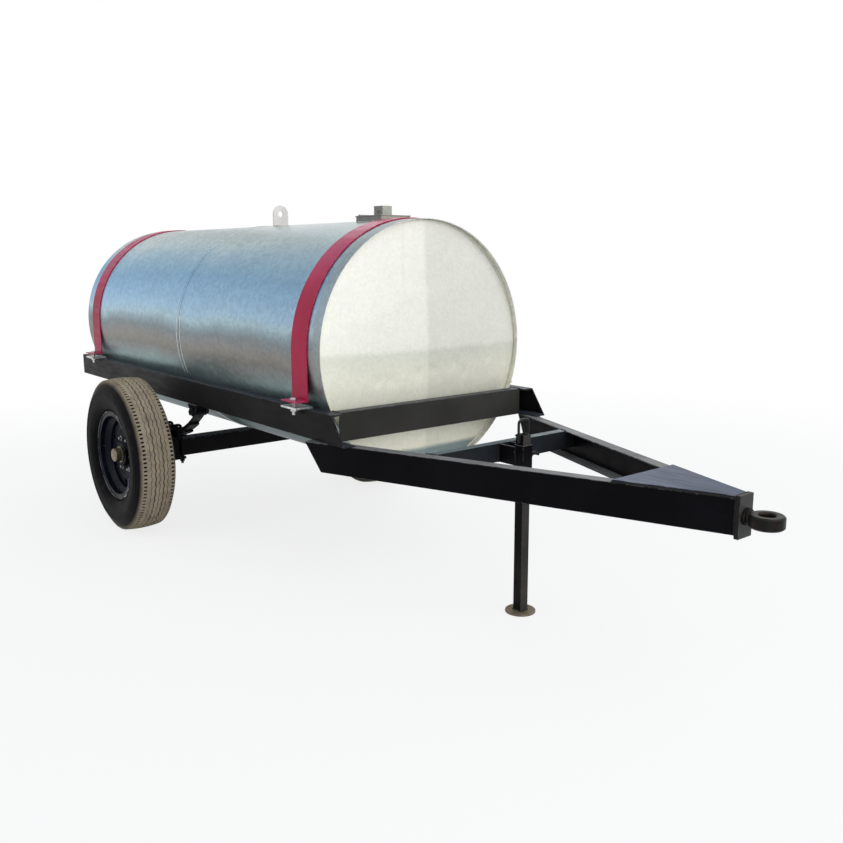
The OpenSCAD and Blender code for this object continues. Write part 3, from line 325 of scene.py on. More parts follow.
def span(tree, value, low, high, to_low=0.0, to_high=1.0, kind="SMOOTHSTEP"):
    """Value brought from one range to another, eased at both ends unless the kind is linear."""
    inputs = {"Value": value, "From Min": low, "From Max": high, "To Min": to_low, "To Max": to_high}
    return add(tree, "ShaderNodeMapRange", inputs, interpolation_type=kind).outputs["Result"]


def span_linear(tree, *limits):
    """Value brought straight from one range to another."""
    return span(tree, *limits, kind="LINEAR")


def grey(tree, value):
    """Grey of a given value."""
    return add(tree, "ShaderNodeCombineColor", {0: value, 1: value, 2: value}).outputs[0]


def rgb(red, green, blue):
    """Colour with full cover."""
    return (red, green, blue, 1.0)


def object_place(tree):
    """Object coordinates."""
    return add(tree, "ShaderNodeTexCoord").outputs["Object"]


def axes_of(tree, vector):
    """Parts of a vector along X, Y and Z."""
    return add(tree, "ShaderNodeSeparateXYZ", {0: vector}).outputs


def axis_distance(tree, centre, across):
    """Distance from an axis through a place; across holds ones for the two axes it is measured along."""
    back = tuple(-value for value in centre)
    shifted = add(tree, "ShaderNodeMapping", {"Vector": object_place(tree), "Location": back}).outputs[0]
    flat = add(tree, "ShaderNodeVectorMath", {0: shifted, 1: across}, operation="MULTIPLY").outputs[0]
    return add(tree, "ShaderNodeVectorMath", {0: flat}, operation="LENGTH").outputs["Value"]


def cloudy(tree, place, scale, detail=3.0, rough=0.55, warp=0.0):
    """Soft noise over the surface."""
    inputs = {"Vector": place, "Scale": scale, "Detail": detail, "Roughness": rough, "Distortion": warp}
    return add(tree, "ShaderNodeTexNoise", inputs).outputs["Fac"]


def stretched(tree, place, scale):
    """Coordinates scaled along each axis."""
    return add(tree, "ShaderNodeMapping", {"Vector": place, "Scale": scale}).outputs["Vector"]


def colour_steps(tree, value, stops):
    """Colours along a value."""
    node = add(tree, "ShaderNodeValToRGB", {"Fac": value})
    steps = node.color_ramp.elements
    while len(steps) < len(stops):
        steps.new(0.5)
    for step, (at, colour) in zip(steps, stops):
        step.position = at
        step.color = colour
    return node.outputs["Color"]


def new_tree(name, family, inputs, outputs):
    """Node group with sockets of named kinds; returns its tree and the sockets of its two ends."""
    tree = bpy.data.node_groups.new(name, family + "NodeTree")
    for way, sockets in (("INPUT", inputs), ("OUTPUT", outputs)):
        for key, kind in sockets.items():
            tree.interface.new_socket(key, in_out=way, socket_type="NodeSocket" + kind)
    start = tree.nodes.new("NodeGroupInput")
    end = tree.nodes.new("NodeGroupOutput")
    return tree, start.outputs, end.inputs


def new_group(name, inputs, outputs):
    """Shader node group that turns values, given with their defaults, into other values."""
    ends = new_tree(name, "Shader", dict.fromkeys(inputs, "Float"), dict.fromkeys(outputs, "Float"))
    for socket in ends[0].interface.items_tree:
        if socket.in_out == "INPUT":
            socket.default_value = inputs[socket.name]
    return ends


def use(tree, group, **inputs):
    """Places a group in a material and returns its outputs."""
    node = tree.nodes.new("ShaderNodeGroup")
    node.node_tree = group
    for key, value in inputs.items():
        feed(tree, node.inputs[key.replace("_", " ")], value)
    return node.outputs


def new_finish(name, **values):
    """Material with a Principled shader and its plain values."""
    material = bpy.data.materials.new(name)
    material.use_nodes = True
    tree = material.node_tree
    shader = tree.nodes["Principled BSDF"]
    for key, value in values.items():
        shader.inputs[key.replace("_", " ")].default_value = value
    return material, tree, shader.inputs


def bump(tree, height, strength, distance, normal=None):
    """Normal pushed by a height."""
    node = add(tree, "ShaderNodeBump", {"Height": height, "Strength": strength, "Distance": distance})
    if normal is not None:
        tree.links.new(normal, node.inputs["Normal"])
    return node.outputs["Normal"]


# Shared effects

def make_dust():
    """Dust that gathers low down and on faces that look up."""
    inputs = {"Low": 0.0, "High": 0.8, "Grain": 9.0, "Amount": 0.5}
    tree, given, out = new_group("road_dust", inputs, ["Mask"])
    coords = add(tree, "ShaderNodeTexCoord")
    height = axes_of(tree, coords.outputs["Object"])["Z"]
    facing = axes_of(tree, coords.outputs["Normal"])["Z"]
    low = calc(tree, "SUBTRACT", 1.0, span(tree, height, given["Low"], given["High"]))
    up = times(tree, span(tree, facing, 0.25, 0.95), 0.6)
    patch = span(tree, cloudy(tree, coords.outputs["Object"], given["Grain"], 6.0, 0.65), 0.36, 0.72)
    cover = times(tree, greater(tree, low, up), patch)
    feed(tree, out["Mask"], times(tree, cover, given["Amount"], clamp=True))
    return tree


def make_wear():
    """Bare metal along rounded edges, broken up by noise, with a few chips."""
    tree, given, out = new_group("edge_wear", {"Amount": 0.5, "Grain": 40.0, "Chips": 0.2}, ["Mask"])
    place = object_place(tree)
    edge = add(tree, "ShaderNodeAttribute", attribute_name="edge_wear").outputs["Fac"]
    rough = span(tree, cloudy(tree, place, given["Grain"], 5.0, 0.6), 0.46, 0.62)
    rubbed = times(tree, times(tree, edge, rough), given["Amount"])
    fleck = span(tree, cloudy(tree, place, 120.0, 3.0, 0.5), 0.70, 0.74)
    chip = times(tree, fleck, given["Chips"])
    feed(tree, out["Mask"], greater(tree, rubbed, chip, clamp=True))
    return tree


def make_spangle():
    """Crystal pattern of hot-dipped zinc."""
    tree, given, out = new_group("zinc_spangle", {"Scale": 60.0}, ["Shade", "Height"])
    place = object_place(tree)
    warp = add(tree, "ShaderNodeTexNoise", {"Vector": place, "Scale": 30.0, "Detail": 2.0}).outputs["Color"]
    shifted = add(tree, "ShaderNodeMix", {0: 0.02, 4: place, 5: warp}, data_type="VECTOR").outputs[1]
    cell = add(tree, "ShaderNodeTexVoronoi", {"Vector": shifted, "Scale": given["Scale"]}, feature="F1")
    tone = add(tree, "ShaderNodeSeparateColor", {0: cell.outputs["Color"]}).outputs[0]
    feed(tree, out["Shade"], tone)
    feed(tree, out["Height"], cell.outputs["Distance"])
    return tree


def make_ripple():
    """Slow waves of rolled sheet."""
    tree, given, out = new_group("sheet_ripple", {"Scale": 2.5}, ["Height"])
    place = object_place(tree)
    slow = cloudy(tree, stretched(tree, place, (0.7, 1.3, 1.3)), given["Scale"], 2.0, 0.45)
    quick = cloudy(tree, place, times(tree, given["Scale"], 5.0), 2.0, 0.5)
    feed(tree, out["Height"], plus(tree, slow, times(tree, quick, 0.12)))
    return tree


def make_painted_sky_and_sun():
    """Painted sky reflection where faces look up, and painted sunlight where they look forward."""
    tree, given, out = new_group("painted_sky_and_sun", {"Grain": 5.0, "Amount": 0.6, "Front": 0.0}, ["Mask"])
    coords = add(tree, "ShaderNodeTexCoord")
    facing = axes_of(tree, coords.outputs["Normal"])
    patch = span(tree, cloudy(tree, coords.outputs["Object"], given["Grain"], 4.0), 0.25, 0.7, 0.55, 1.0)
    # painted sunlight on forward faces and painted sky reflection on upward faces, broken up by noise
    forward = times(tree, span(tree, facing["X"], 0.55, 0.95), given["Front"])
    upward = span(tree, facing["Z"], 0.35, 0.95)
    cover = times(tree, greater(tree, upward, forward), patch)
    feed(tree, out["Mask"], times(tree, cover, given["Amount"], clamp=True))
    return tree


DUST = make_dust()
WEAR = make_wear()
SPANGLE = make_spangle()
RIPPLE = make_ripple()
# Painted sky reflection and painted sunlight, shared by the enamels
SKY_AND_SUN_PAINT = make_painted_sky_and_sun()
WHITE = rgb(1.0, 1.0, 1.0)
TAN_DUST = rgb(0.23, 0.185, 0.135)
BARE_STEEL = rgb(0.33, 0.33, 0.34)
# Colour of the painted sky reflection on the black enamels' upper faces
SKY_REFLECTION_GREY = rgb(0.050, 0.060, 0.080)


# Finishes

def enamel(name, colour, gloss=0.34, dust_high=0.80, dust=0.12, sky=SKY_REFLECTION_GREY, painted_light=0.6, wear=0.3,
           chips=0.06, shine=0.12, front=0.0):
    """Brushed enamel with a painted sky reflection on top and, where asked, painted sunlight in front, with
    dust low down, scuffs and worn edges.
    """
    material, tree, shader = new_finish(name, Specular_IOR_Level=shine)
    place = object_place(tree)
    dusty = use(tree, DUST, Low=dust_high*0.2, High=dust_high, Amount=dust)["Mask"]
    worn = use(tree, WEAR, Amount=wear, Chips=chips)["Mask"]
    pale = use(tree, SKY_AND_SUN_PAINT, Amount=painted_light, Front=front)["Mask"]
    tone = cloudy(tree, place, 3.0, 4.0)
    second = tuple(min(1.0, c*1.45 + 0.002) for c in colour[:3]) + (1.0,)
    coat = blend_colours(tree, span(tree, tone, 0.35, 0.75), colour, second)
    # painted sky reflection and painted sunlight, laid on in the sky colour
    coat = blend_colours(tree, pale, coat, sky)
    coat = blend_colours(tree, dusty, coat, TAN_DUST)
    feed(tree, shader["Base Color"], blend_colours(tree, worn, coat, BARE_STEEL))
    streak = cloudy(tree, stretched(tree, place, (2.0, 14.0, 14.0)), 3.0, 4.0, 0.6)
    rough = plus(tree, gloss, times(tree, span(tree, streak, 0.3, 0.75), 0.16))
    feed(tree, shader["Roughness"], plus(tree, rough, times(tree, dusty, 0.45), clamp=True))
    feed(tree, shader["Metallic"], times(tree, worn, 0.7))
    peel = cloudy(tree, place, 220.0, 2.0)
    feed(tree, shader["Normal"], bump(tree, peel, 0.10, 0.0006))
    return material


def line_inside(tree, axes, tone, lining):
    """Zinc with a paler lip in front and paint on the shell's inner side."""
    lip = span(tree, axes["X"], TANK_RIM - 0.075, TANK_RIM - 0.04, 0.0, 0.65)
    tone = blend_colours(tree, lip, tone, rgb(0.36, 0.39, 0.385))
    radius = axis_distance(tree, (0.0, 0.0, TANK_Z), (0.0, 1.0, 1.0))
    outside = span(tree, radius, TANK_R - 0.0022, TANK_R - 0.0006)
    return blend_colours(tree, outside, lining, tone)


def paint_sunlit_front(tree, tone, bright):
    """Zinc with painted sunlight on the faces that look forward, and less on those that look up."""
    side = axes_of(tree, add(tree, "ShaderNodeTexCoord").outputs["Normal"])
    upward = span(tree, side["Z"], 0.6, 0.95, 0.0, 0.6)
    sunlit = greater(tree, span(tree, side["X"], 0.5, 0.9), upward)
    return blend_colours(tree, sunlit, tone, bright)


def galvanised(name, bands, rough=0.34, spangle=70.0, tint=0.10, drift=0.05, far_side_shade=1.0, painted_front_shade=0.0,
               lining=None, bright=None, scuff_and_glint=0.0, metallic=0.82):
    """Galvanised sheet: spangled zinc in bands of colour by height, which are painted reflections of sky,
    horizon and ground.

    It may take: painted shade on its far half, painted shade at the front with painted light at the rear,
    pale scuffs that are in part painted glints, a paint lining, and painted sunlight in front.
    """
    material, tree, shader = new_finish(name, Metallic=metallic, Specular_Tint=rgb(0.42, 0.44, 0.45))
    place = object_place(tree)
    axes = axes_of(tree, place)
    wander = times(tree, calc(tree, "SUBTRACT", cloudy(tree, place, 2.6, 3.0), 0.5), drift)
    low, high = bands[0][0], bands[-1][0]
    # colour in bands by height, which the band lists fill mostly with painted reflections
    level = span_linear(tree, plus(tree, axes["Z"], wander), low, high)
    stops = [((at - low)/(high - low), rgb(*colour)) for at, *colour in bands]
    tone = colour_steps(tree, level, stops)
    if lining is not None:
        tone = line_inside(tree, axes, tone, lining)
    # painted sunlight on the faces that look forward
    if bright is not None:
        tone = paint_sunlit_front(tree, tone, bright)
    crystal = use(tree, SPANGLE, Scale=spangle)
    shade = span_linear(tree, crystal["Shade"], 0.0, 1.0, 1.0 - tint, 1.0 + tint)
    # painted light towards the rear and painted shade towards the front rim
    if painted_front_shade:
        rear, front = (TANK_RIM - back for back in PAINTED_SHADE_SPAN)
        along = span_linear(tree, axes["X"], rear, front, 1.0 + painted_front_shade, 1.0 - painted_front_shade)
        shade = times(tree, shade, along)
    # painted shade: darker from the near edge across to the middle, and a step darker on the far half
    if far_side_shade < 1.0:
        painted_falloff = span_linear(tree, axes["Y"], -TANK_R, 0.0, 1.03, 0.92)
        shade = times(tree, shade, painted_falloff)
        shade = times(tree, shade, span(tree, axes["Y"], -0.012, 0.012, 1.0, far_side_shade))
    tone = blend_colours(tree, 1.0, tone, grey(tree, shade), "MULTIPLY")
    runs = cloudy(tree, stretched(tree, place, (9.0, 9.0, 0.8)), 2.4, 5.0, 0.6)
    tone = blend_colours(tree, span(tree, runs, 0.60, 0.82, 0.0, 0.14), tone, rgb(0.34, 0.31, 0.27))
    # pale scuffed patches, which also stand in for glints off the dented sheet, a painted highlight in part
    scuff_glint_patches = cloudy(tree, stretched(tree, place, (1.0, 1.0, 1.6)), 9.0, 3.0, 0.5, 0.6)
    tone = blend_colours(tree, span(tree, scuff_glint_patches, 0.60, 0.68, 0.0, scuff_and_glint), tone, rgb(0.92, 0.92, 0.86))
    feed(tree, shader["Base Color"], tone)
    smear = cloudy(tree, place, 6.0, 5.0)
    varied = plus(tree, rough, times(tree, calc(tree, "SUBTRACT", smear, 0.5), 0.22))
    feed(tree, shader["Roughness"], plus(tree, varied, times(tree, crystal["Shade"], 0.05)))
    wave = use(tree, RIPPLE, Scale=2.2)["Height"]
    slow = bump(tree, wave, 0.55, 0.02)
    feed(tree, shader["Normal"], bump(tree, crystal["Height"], 0.05, 0.0008, slow))
    return material


def metal(name, colour, rough, rust=0.0, dust_high=0.4, dust=0.3):
    """Plated or bare metal with handling marks, a little rust and dust."""
    material, tree, shader = new_finish(name, Metallic=0.9)
    place = object_place(tree)
    dusty = use(tree, DUST, Low=0.0, High=dust_high, Amount=dust, Grain=14.0)["Mask"]
    tone = cloudy(tree, place, 30.0, 5.0, 0.6)
    dark = tuple(c*0.6 for c in colour[:3]) + (1.0,)
    base = blend_colours(tree, span(tree, tone, 0.35, 0.7), dark, colour)
    patch = span(tree, cloudy(tree, place, 22.0, 6.0, 0.7), 0.52, 0.66)
    base = blend_colours(tree, times(tree, patch, rust), base, rgb(0.15, 0.062, 0.028))
    feed(tree, shader["Base Color"], blend_colours(tree, dusty, base, TAN_DUST))
    rough = plus(tree, rough, times(tree, tone, 0.16))
    feed(tree, shader["Roughness"], plus(tree, rough, times(tree, dusty, 0.4), clamp=True))
    feed(tree, shader["Normal"], bump(tree, cloudy(tree, place, 160.0, 3.0), 0.12, 0.0005))
    return material


def tyre_rubber(side):
    """Rubber, black on the walls and dusty tan over the tread."""
    material, tree, shader = new_finish("tyre_rubber_" + side, Specular_IOR_Level=0.04)
    place = object_place(tree)
    tread = add(tree, "ShaderNodeAttribute", attribute_name="dust").outputs["Fac"]
    patch = cloudy(tree, place, 18.0, 6.0, 0.65)
    tread = times(tree, tread, span(tree, patch, 0.22, 0.62, 0.62, 1.0))
    wall = times(tree, span(tree, patch, 0.50, 0.75), 0.03)
    dusty = greater(tree, tread, wall, clamp=True)
    fine = cloudy(tree, place, 60.0, 4.0)
    dirt = blend_colours(tree, fine, rgb(0.27, 0.225, 0.162), rgb(0.50, 0.415, 0.30))
    feed(tree, shader["Base Color"], blend_colours(tree, dusty, rgb(0.0032, 0.0032, 0.0042), dirt))
    feed(tree, shader["Roughness"], plus(tree, 0.5, times(tree, dusty, 0.4)))
    feed(tree, shader["Normal"], bump(tree, cloudy(tree, place, 260.0, 3.0), 0.2, 0.0006))
    return material


def rim_enamel(side):
    """Dark enamel on the wheel, worn bare along the rim's lip, where the bright ring is in part a painted
    highlight.
    """
    material, tree, shader = new_finish("rim_enamel_" + side, Specular_IOR_Level=0.10)
    place = object_place(tree)
    radius = axis_distance(tree, JOINTS["wheel_%s_spin" % side]["pos_m"], (1.0, 0.0, 1.0))
    worn = use(tree, WEAR, Amount=0.5, Chips=0.25, Grain=30.0)["Mask"]
    broken = span(tree, cloudy(tree, place, 16.0), 0.4, 0.62)
    # bright ring along the lip: worn bare metal, and a painted highlight in part
    lip = times(tree, span(tree, radius, 0.2155, 0.2225), broken)
    bright = greater(tree, worn, lip, clamp=True)
    dusty = span(tree, cloudy(tree, place, 12.0, 6.0, 0.65), 0.50, 0.78, 0.0, 0.35)
    base = blend_colours(tree, dusty, rgb(0.003, 0.004, 0.010), rgb(0.022, 0.022, 0.023))
    feed(tree, shader["Base Color"], blend_colours(tree, bright, base, rgb(0.42, 0.42, 0.40)))
    feed(tree, shader["Metallic"], times(tree, bright, 0.6))
    feed(tree, shader["Roughness"], plus(tree, 0.3, times(tree, dusty, 0.8)))
    feed(tree, shader["Normal"], bump(tree, cloudy(tree, place, 150.0), 0.1, 0.0006))
    return material


# Zinc tones by height, mostly painted reflections of sky, horizon and ground: heights above the ground, in
# metres, and the red, green and blue there

SHELL_REFLECTION_BANDS = [
    (0.44, 0.20, 0.225, 0.23), (0.77, 0.31, 0.41, 0.42), (0.83, 0.34, 0.43, 0.435),
    (0.875, 0.31, 0.33, 0.325), (0.905, 0.28, 0.275, 0.26), (0.935, 0.32, 0.305, 0.275),
    (0.965, 0.31, 0.31, 0.305), (1.00, 0.27, 0.31, 0.33), (1.03, 0.33, 0.42, 0.46),
    (1.065, 0.45, 0.60, 0.67), (1.10, 0.41, 0.59, 0.74), (1.17, 0.33, 0.51, 0.69),
    (1.26, 0.27, 0.44, 0.61), (1.31, 0.31, 0.48, 0.61), (1.37, 0.42, 0.56, 0.66), (1.42, 0.57, 0.68, 0.70),
    (1.515, 0.63, 0.65, 0.64)]
# End panels: a darker band just below the middle crease is painted shade, and the two lowest bands, below
# 0.55 m, are a painted shadow of the front cross beam
PANEL_LIGHT_BANDS = [
    (0.44, 0.25, 0.32, 0.31), (0.545, 0.28, 0.35, 0.34), (0.562, 0.98, 0.95, 0.78),
    (0.72, 0.98, 0.96, 0.79), (0.88, 0.95, 0.935, 0.78), (0.962, 0.83, 0.83, 0.71),
    (0.985, 0.95, 0.94, 0.83), (1.50, 0.95, 0.93, 0.84)]
NECK_BANDS = [(1.40, 0.155, 0.16, 0.155), (1.62, 0.20, 0.205, 0.20)]
# Seam solder, toned with the same painted reflections as the shell
SOLDER_REFLECTION_BANDS = [
    (0.44, 0.55, 0.57, 0.58), (1.05, 0.64, 0.68, 0.70), (1.12, 0.34, 0.48, 0.60), (1.26, 0.20, 0.32, 0.43),
    (1.37, 0.30, 0.40, 0.47), (1.515, 0.46, 0.49, 0.48)]

# Finishes of this trailer's pieces

# Each enamel's sky colour is a painted sky reflection on its upper faces; a front value adds painted
# sunlight, in that colour, on the faces that look forward
FRAME_BLACK = enamel("frame_black", rgb(0.0044, 0.0041, 0.0044), dust=0.03, wear=0.12, shine=0.06)
BEAM_BLACK = enamel("beam_black", rgb(0.027, 0.0258, 0.0232), gloss=0.36, dust=0.10, wear=0.15)
BAR_BLACK = enamel("drawbar_black", rgb(0.0022, 0.0020, 0.0032), gloss=0.30, dust_high=0.60, dust=0.02,
                   sky=rgb(0.21, 0.21, 0.215), painted_light=0.9, wear=0.2, chips=0.03, shine=0.04)
MEMBER_BLACK = enamel("member_black", rgb(0.012, 0.0145, 0.018), sky=rgb(0.10, 0.14, 0.165), painted_light=0.95)
GUSSET_BLACK = enamel("gusset_black", rgb(0.0045, 0.0048, 0.007), dust=0.06, sky=rgb(0.062, 0.089, 0.146),
                      painted_light=1.0)
PLATE_BLACK = enamel("plate_black", rgb(0.0100, 0.0096, 0.0092), gloss=0.40, dust_high=0.60, dust=0.20,
                     sky=rgb(0.075, 0.074, 0.072), painted_light=0.9, front=0.9)
STAND_BLACK = enamel("stand_black", rgb(0.0030, 0.0030, 0.0034), dust_high=0.30, dust=0.10,
                     sky=rgb(0.062, 0.057, 0.052), painted_light=0.9, wear=0.06, chips=0.03, shine=0.04, front=1.0)
HANDLE_BLACK = enamel("handle_black", rgb(0.016, 0.016, 0.018), gloss=0.36, dust_high=0.35, dust=0.10,
                      sky=rgb(0.07, 0.075, 0.085), painted_light=0.8)
AXLE_BLACK = enamel("axle_black", rgb(0.0022, 0.0022, 0.0032), gloss=0.36, dust_high=0.50, wear=0.15,
                    shine=0.05)
# The strap's worn edges are bare steel, and they also stand in for the highlight along its edges, a painted
# highlight in part
CRIMSON = enamel("strap_crimson", rgb(0.36, 0.012, 0.052), gloss=0.28, dust_high=0.86, dust=0.05,
                 sky=rgb(0.47, 0.06, 0.18), painted_light=0.8, wear=0.5, chips=0.05)
LEVER_RED = enamel("lever_red", rgb(0.30, 0.010, 0.016), gloss=0.28, dust_high=0.9, dust=0.2,
                   sky=rgb(0.36, 0.03, 0.05), painted_light=0.5, wear=0.5)
LUG_PALE = enamel("lug_pale", rgb(0.72, 0.67, 0.63), gloss=0.5, dust_high=0.3, dust=0.05,
                  sky=rgb(0.85, 0.82, 0.78), painted_light=0.8, wear=0.15, chips=0.02)
WELD = enamel("weld_black", rgb(0.0045, 0.0045, 0.005), gloss=0.32, dust_high=0.9, wear=0.0)
SEALANT = enamel("rim_sealant", rgb(0.62, 0.60, 0.52), gloss=0.5, dust_high=0.6, dust=0.2,
                 sky=rgb(0.78, 0.77, 0.70), painted_light=0.8, wear=0.0, chips=0.0)
# Shell: painted reflections in its bands and painted shade towards its front rim
SHELL_ZINC = galvanised("shell_zinc", SHELL_REFLECTION_BANDS, drift=0.10, painted_front_shade=0.17, lining=rgb(0.92, 0.91, 0.83))
# Panel: painted shade on its far half, and pale scuffs that are in part painted glints
PANEL_ZINC = galvanised("panel_zinc", PANEL_LIGHT_BANDS, rough=0.42, spangle=90.0, tint=0.04, drift=0.012,
                        far_side_shade=0.88, scuff_and_glint=0.22, metallic=0.15)
# Hatch: painted sunlight on its forward faces
NECK_ZINC = galvanised("neck_zinc", NECK_BANDS, rough=0.40, bright=rgb(0.34, 0.35, 0.30))
SOLDER = galvanised("seam_solder", SOLDER_REFLECTION_BANDS, rough=0.36, spangle=200.0)
BOLT_ZINC = metal("bolt_zinc", rgb(0.80, 0.81, 0.80), rough=0.28)
BARE = metal("bare_steel", rgb(0.42, 0.42, 0.42), rough=0.34, rust=0.35)
FORGED = metal("forged_black", rgb(0.014, 0.0135, 0.0135), rough=0.36, rust=0.12, dust_high=0.9, dust=0.12)
FOOT_RUST = metal("foot_rust", rgb(0.26, 0.205, 0.145), rough=0.5, rust=0.5, dust_high=0.05, dust=1.0)
BRASS = metal("dull_brass", rgb(0.27, 0.235, 0.165), rough=0.36, rust=0.15, dust_high=0.5, dust=0.5)
WELD_ZINC = metal("weld_zinc", rgb(0.50, 0.50, 0.48), rough=0.42, rust=0.12)
RUBBER = {side: tyre_rubber(side) for side in ("right", "left")}
RIM = {side: rim_enamel(side) for side in ("right", "left")}


# Camera, light and floor

def set_camera():
    """Camera at the photograph's place and angle."""
    data = bpy.data.cameras.new("camera")
    data.sensor_width = SENSOR
    data.lens = SENSOR*PHOTO_FOCUS/PHOTO_SIZE
    data.clip_end = 200.0
    camera = bpy.data.objects.new("camera", data)
    yaw, pitch, roll = map(math.radians, (CAMERA_YAW, CAMERA_PITCH, CAMERA_ROLL))
    ahead = Vector((math.cos(yaw)*math.cos(pitch), math.sin(yaw)*math.cos(pitch), -math.sin(pitch)))
    right = Vector((math.sin(yaw), -math.cos(yaw), 0.0))
    up = right.cross(ahead)
    right, up = math.cos(roll)*right + math.sin(roll)*up, math.cos(roll)*up - math.sin(roll)*right
    turn = Matrix((right, up, -ahead)).transposed().to_4x4()
    camera.matrix_world = Matrix.Translation(CAMERA_AT) @ turn
    bpy.context.scene.collection.objects.link(camera)
    bpy.context.scene.camera = camera


def shown_ray(tree):
    """One where the camera, a reflection or glass looks straight at the surface."""
    path = add(tree, "ShaderNodeLightPath").outputs
    seen = greater(tree, path["Is Camera Ray"], path["Is Glossy Ray"])
    return greater(tree, seen, path["Is Transmission Ray"])


def set_world():
    """White surroundings that give a soft, slightly blue light."""
    world = bpy.data.worlds.new("studio")
    bpy.context.scene.world = world
    world.use_nodes = True
    tree = world.node_tree
    light = tree.nodes["Background"]
    light.inputs["Color"].default_value = rgb(0.86, 0.92, 1.0)
    light.inputs["Strength"].default_value = 0.55
    seen = add(tree, "ShaderNodeBackground", {"Color": WHITE, "Strength": 1.0})
    both = add(tree, "ShaderNodeMixShader", {0: shown_ray(tree), 1: light.outputs[0], 2: seen.outputs[0]})
    tree.links.new(both.outputs[0], tree.nodes["World Output"].inputs["Surface"])


def make_floor():
    """Plain pale floor, which is white but for the trailer's shadow."""
    bm = bmesh.new()
    bmesh.ops.create_grid(bm, x_segments=1, y_segments=1, size=FLOOR_HALF)
    floor = bpy.data.meshes.new("floor")
    bm.to_mesh(floor)
    bm.free()
    material, tree, _ = new_finish("floor_white", Base_Color=rgb(0.84, 0.84, 0.83), Roughness=0.9)
    glow = add(tree, "ShaderNodeEmission", {"Color": WHITE, "Strength": 1.0})
    far = add(tree, "ShaderNodeVectorMath", {0: object_place(tree)}, operation="LENGTH").outputs["Value"]
    factor = times(tree, shown_ray(tree), span(tree, far, *FLOOR_SHADE))
    plain = tree.nodes["Principled BSDF"].outputs[0]
    both = add(tree, "ShaderNodeMixShader", {0: factor, 1: plain, 2: glow.outputs[0]})
    tree.links.new(both.outputs[0], tree.nodes["Material Output"].inputs["Surface"])
    floor.materials.append(material)
    new_object("floor", floor)


def set_stage():
    """Floor, white surroundings and soft studio lamps."""
    bpy.context.scene.view_settings.view_transform = "Standard"
    set_world()
    make_floor()
    for name, (at, aim, size, power) in LAMPS.items():
        data = bpy.data.lights.new(name, "AREA")
        data.shape = "DISK"
        data.size = size
        data.energy = power
        lamp = bpy.data.objects.new(name, data)
        lamp.location = at
        lamp.rotation_euler = (Vector(aim) - Vector(at)).to_track_quat("-Z", "Y").to_euler()
        bpy.context.scene.collection.objects.link(lamp)


set_camera()
set_stage()


# Tyres

def tyre_wall(inset, angles):
    """Side wall as an arc of an ellipse from the bead to the shoulder, as radius and offset."""
    reach = TYRE_HALF - BULGE_S - inset
    return [(BULGE_R + (BULGE_RISE - inset)*math.sin(a), BULGE_S + reach*math.cos(a)) for a in angles]


def wall_angles():
    """Angles of the side wall's points: an even row, and both edges of each moulded ring."""
    angles = arc_angles(*WALL_ARC, 19)
    for at, half, _ in WALL_RINGS:
        for edge in (-half - RING_EDGE, -half, half, half + RING_EDGE):
            angles.append(math.asin((at + edge - BULGE_R)/BULGE_RISE))
    return sorted(angles)


def raised(r):
    """Height of the moulded rings on the side wall."""
    return sum(tall for at, half, tall in WALL_RINGS if abs(r - at) <= half + 1e-6)


def crown_r(s):
    """Radius of the tread at an offset from its middle."""
    return TYRE_R - CROWN_DROP*(s/TREAD_HALF)**2


def far_half(points):
    """Points of a section on the other side of its middle, in the order that goes on round it."""
    return [(r, -s, dust) for r, s, dust in reversed(points)]


def tyre_section(zig, slot):
    """Closed section of the tyre at one place round it, as radius, offset and dust."""
    half = [(BEAD_R, BEAD_SEAT, 0.0), (BEAD_TOP, BEAD_SEAT, 0.0)]
    for r, s in tyre_wall(0.0, wall_angles()):
        half.append((r, s + raised(r), max(0.0, min(1.0, (r - DUST_FROM)/DUST_FADE))))
    inner, outer = SLOT_ROW
    shoulder = [(crown_r(TREAD_HALF), TREAD_HALF, 0.85)]
    for s, deep in ((outer, 0.0), (outer - SLOT_SLOPE, 1.0), (inner + SLOT_SLOPE, 1.0), (inner, 0.0)):
        # the dust value falls in the slots, so these are darker than the tread face
        shoulder.append((crown_r(s) - slot*deep*SLOT_DEPTH, s, 1.0 - 0.97*slot*deep))
    grooves = []
    for at, lip, depth in TREAD_LINES:
        foot = lip - GROOVE_SLOPE
        for offset, deep in ((lip, 0.0), (foot, 1.0), (-foot, 1.0), (-lip, 0.0)):
            s = at + offset + zig
            # the dust value falls in the grooves, so these are darker than the tread face
            grooves.append((crown_r(s) - deep*depth, s, 1.0 - 0.55*deep))
    outside = half + shoulder + grooves + far_half(shoulder) + far_half(half)
    inside = [(TYRE_R - TREAD_T, TREAD_HALF - TYRE_WALL, 0.0)]
    inside += [(r, s, 0.0) for r, s in reversed(tyre_wall(TYRE_WALL, arc_angles(*WALL_ARC, 6)))]
    inside += [(BEAD_TOP, BEAD_SEAT - BEAD_TOP_WIDTH, 0.0), (BEAD_R, BEAD_SEAT - BEAD_WIDTH, 0.0)]
    return outside + far_half(inside) + inside


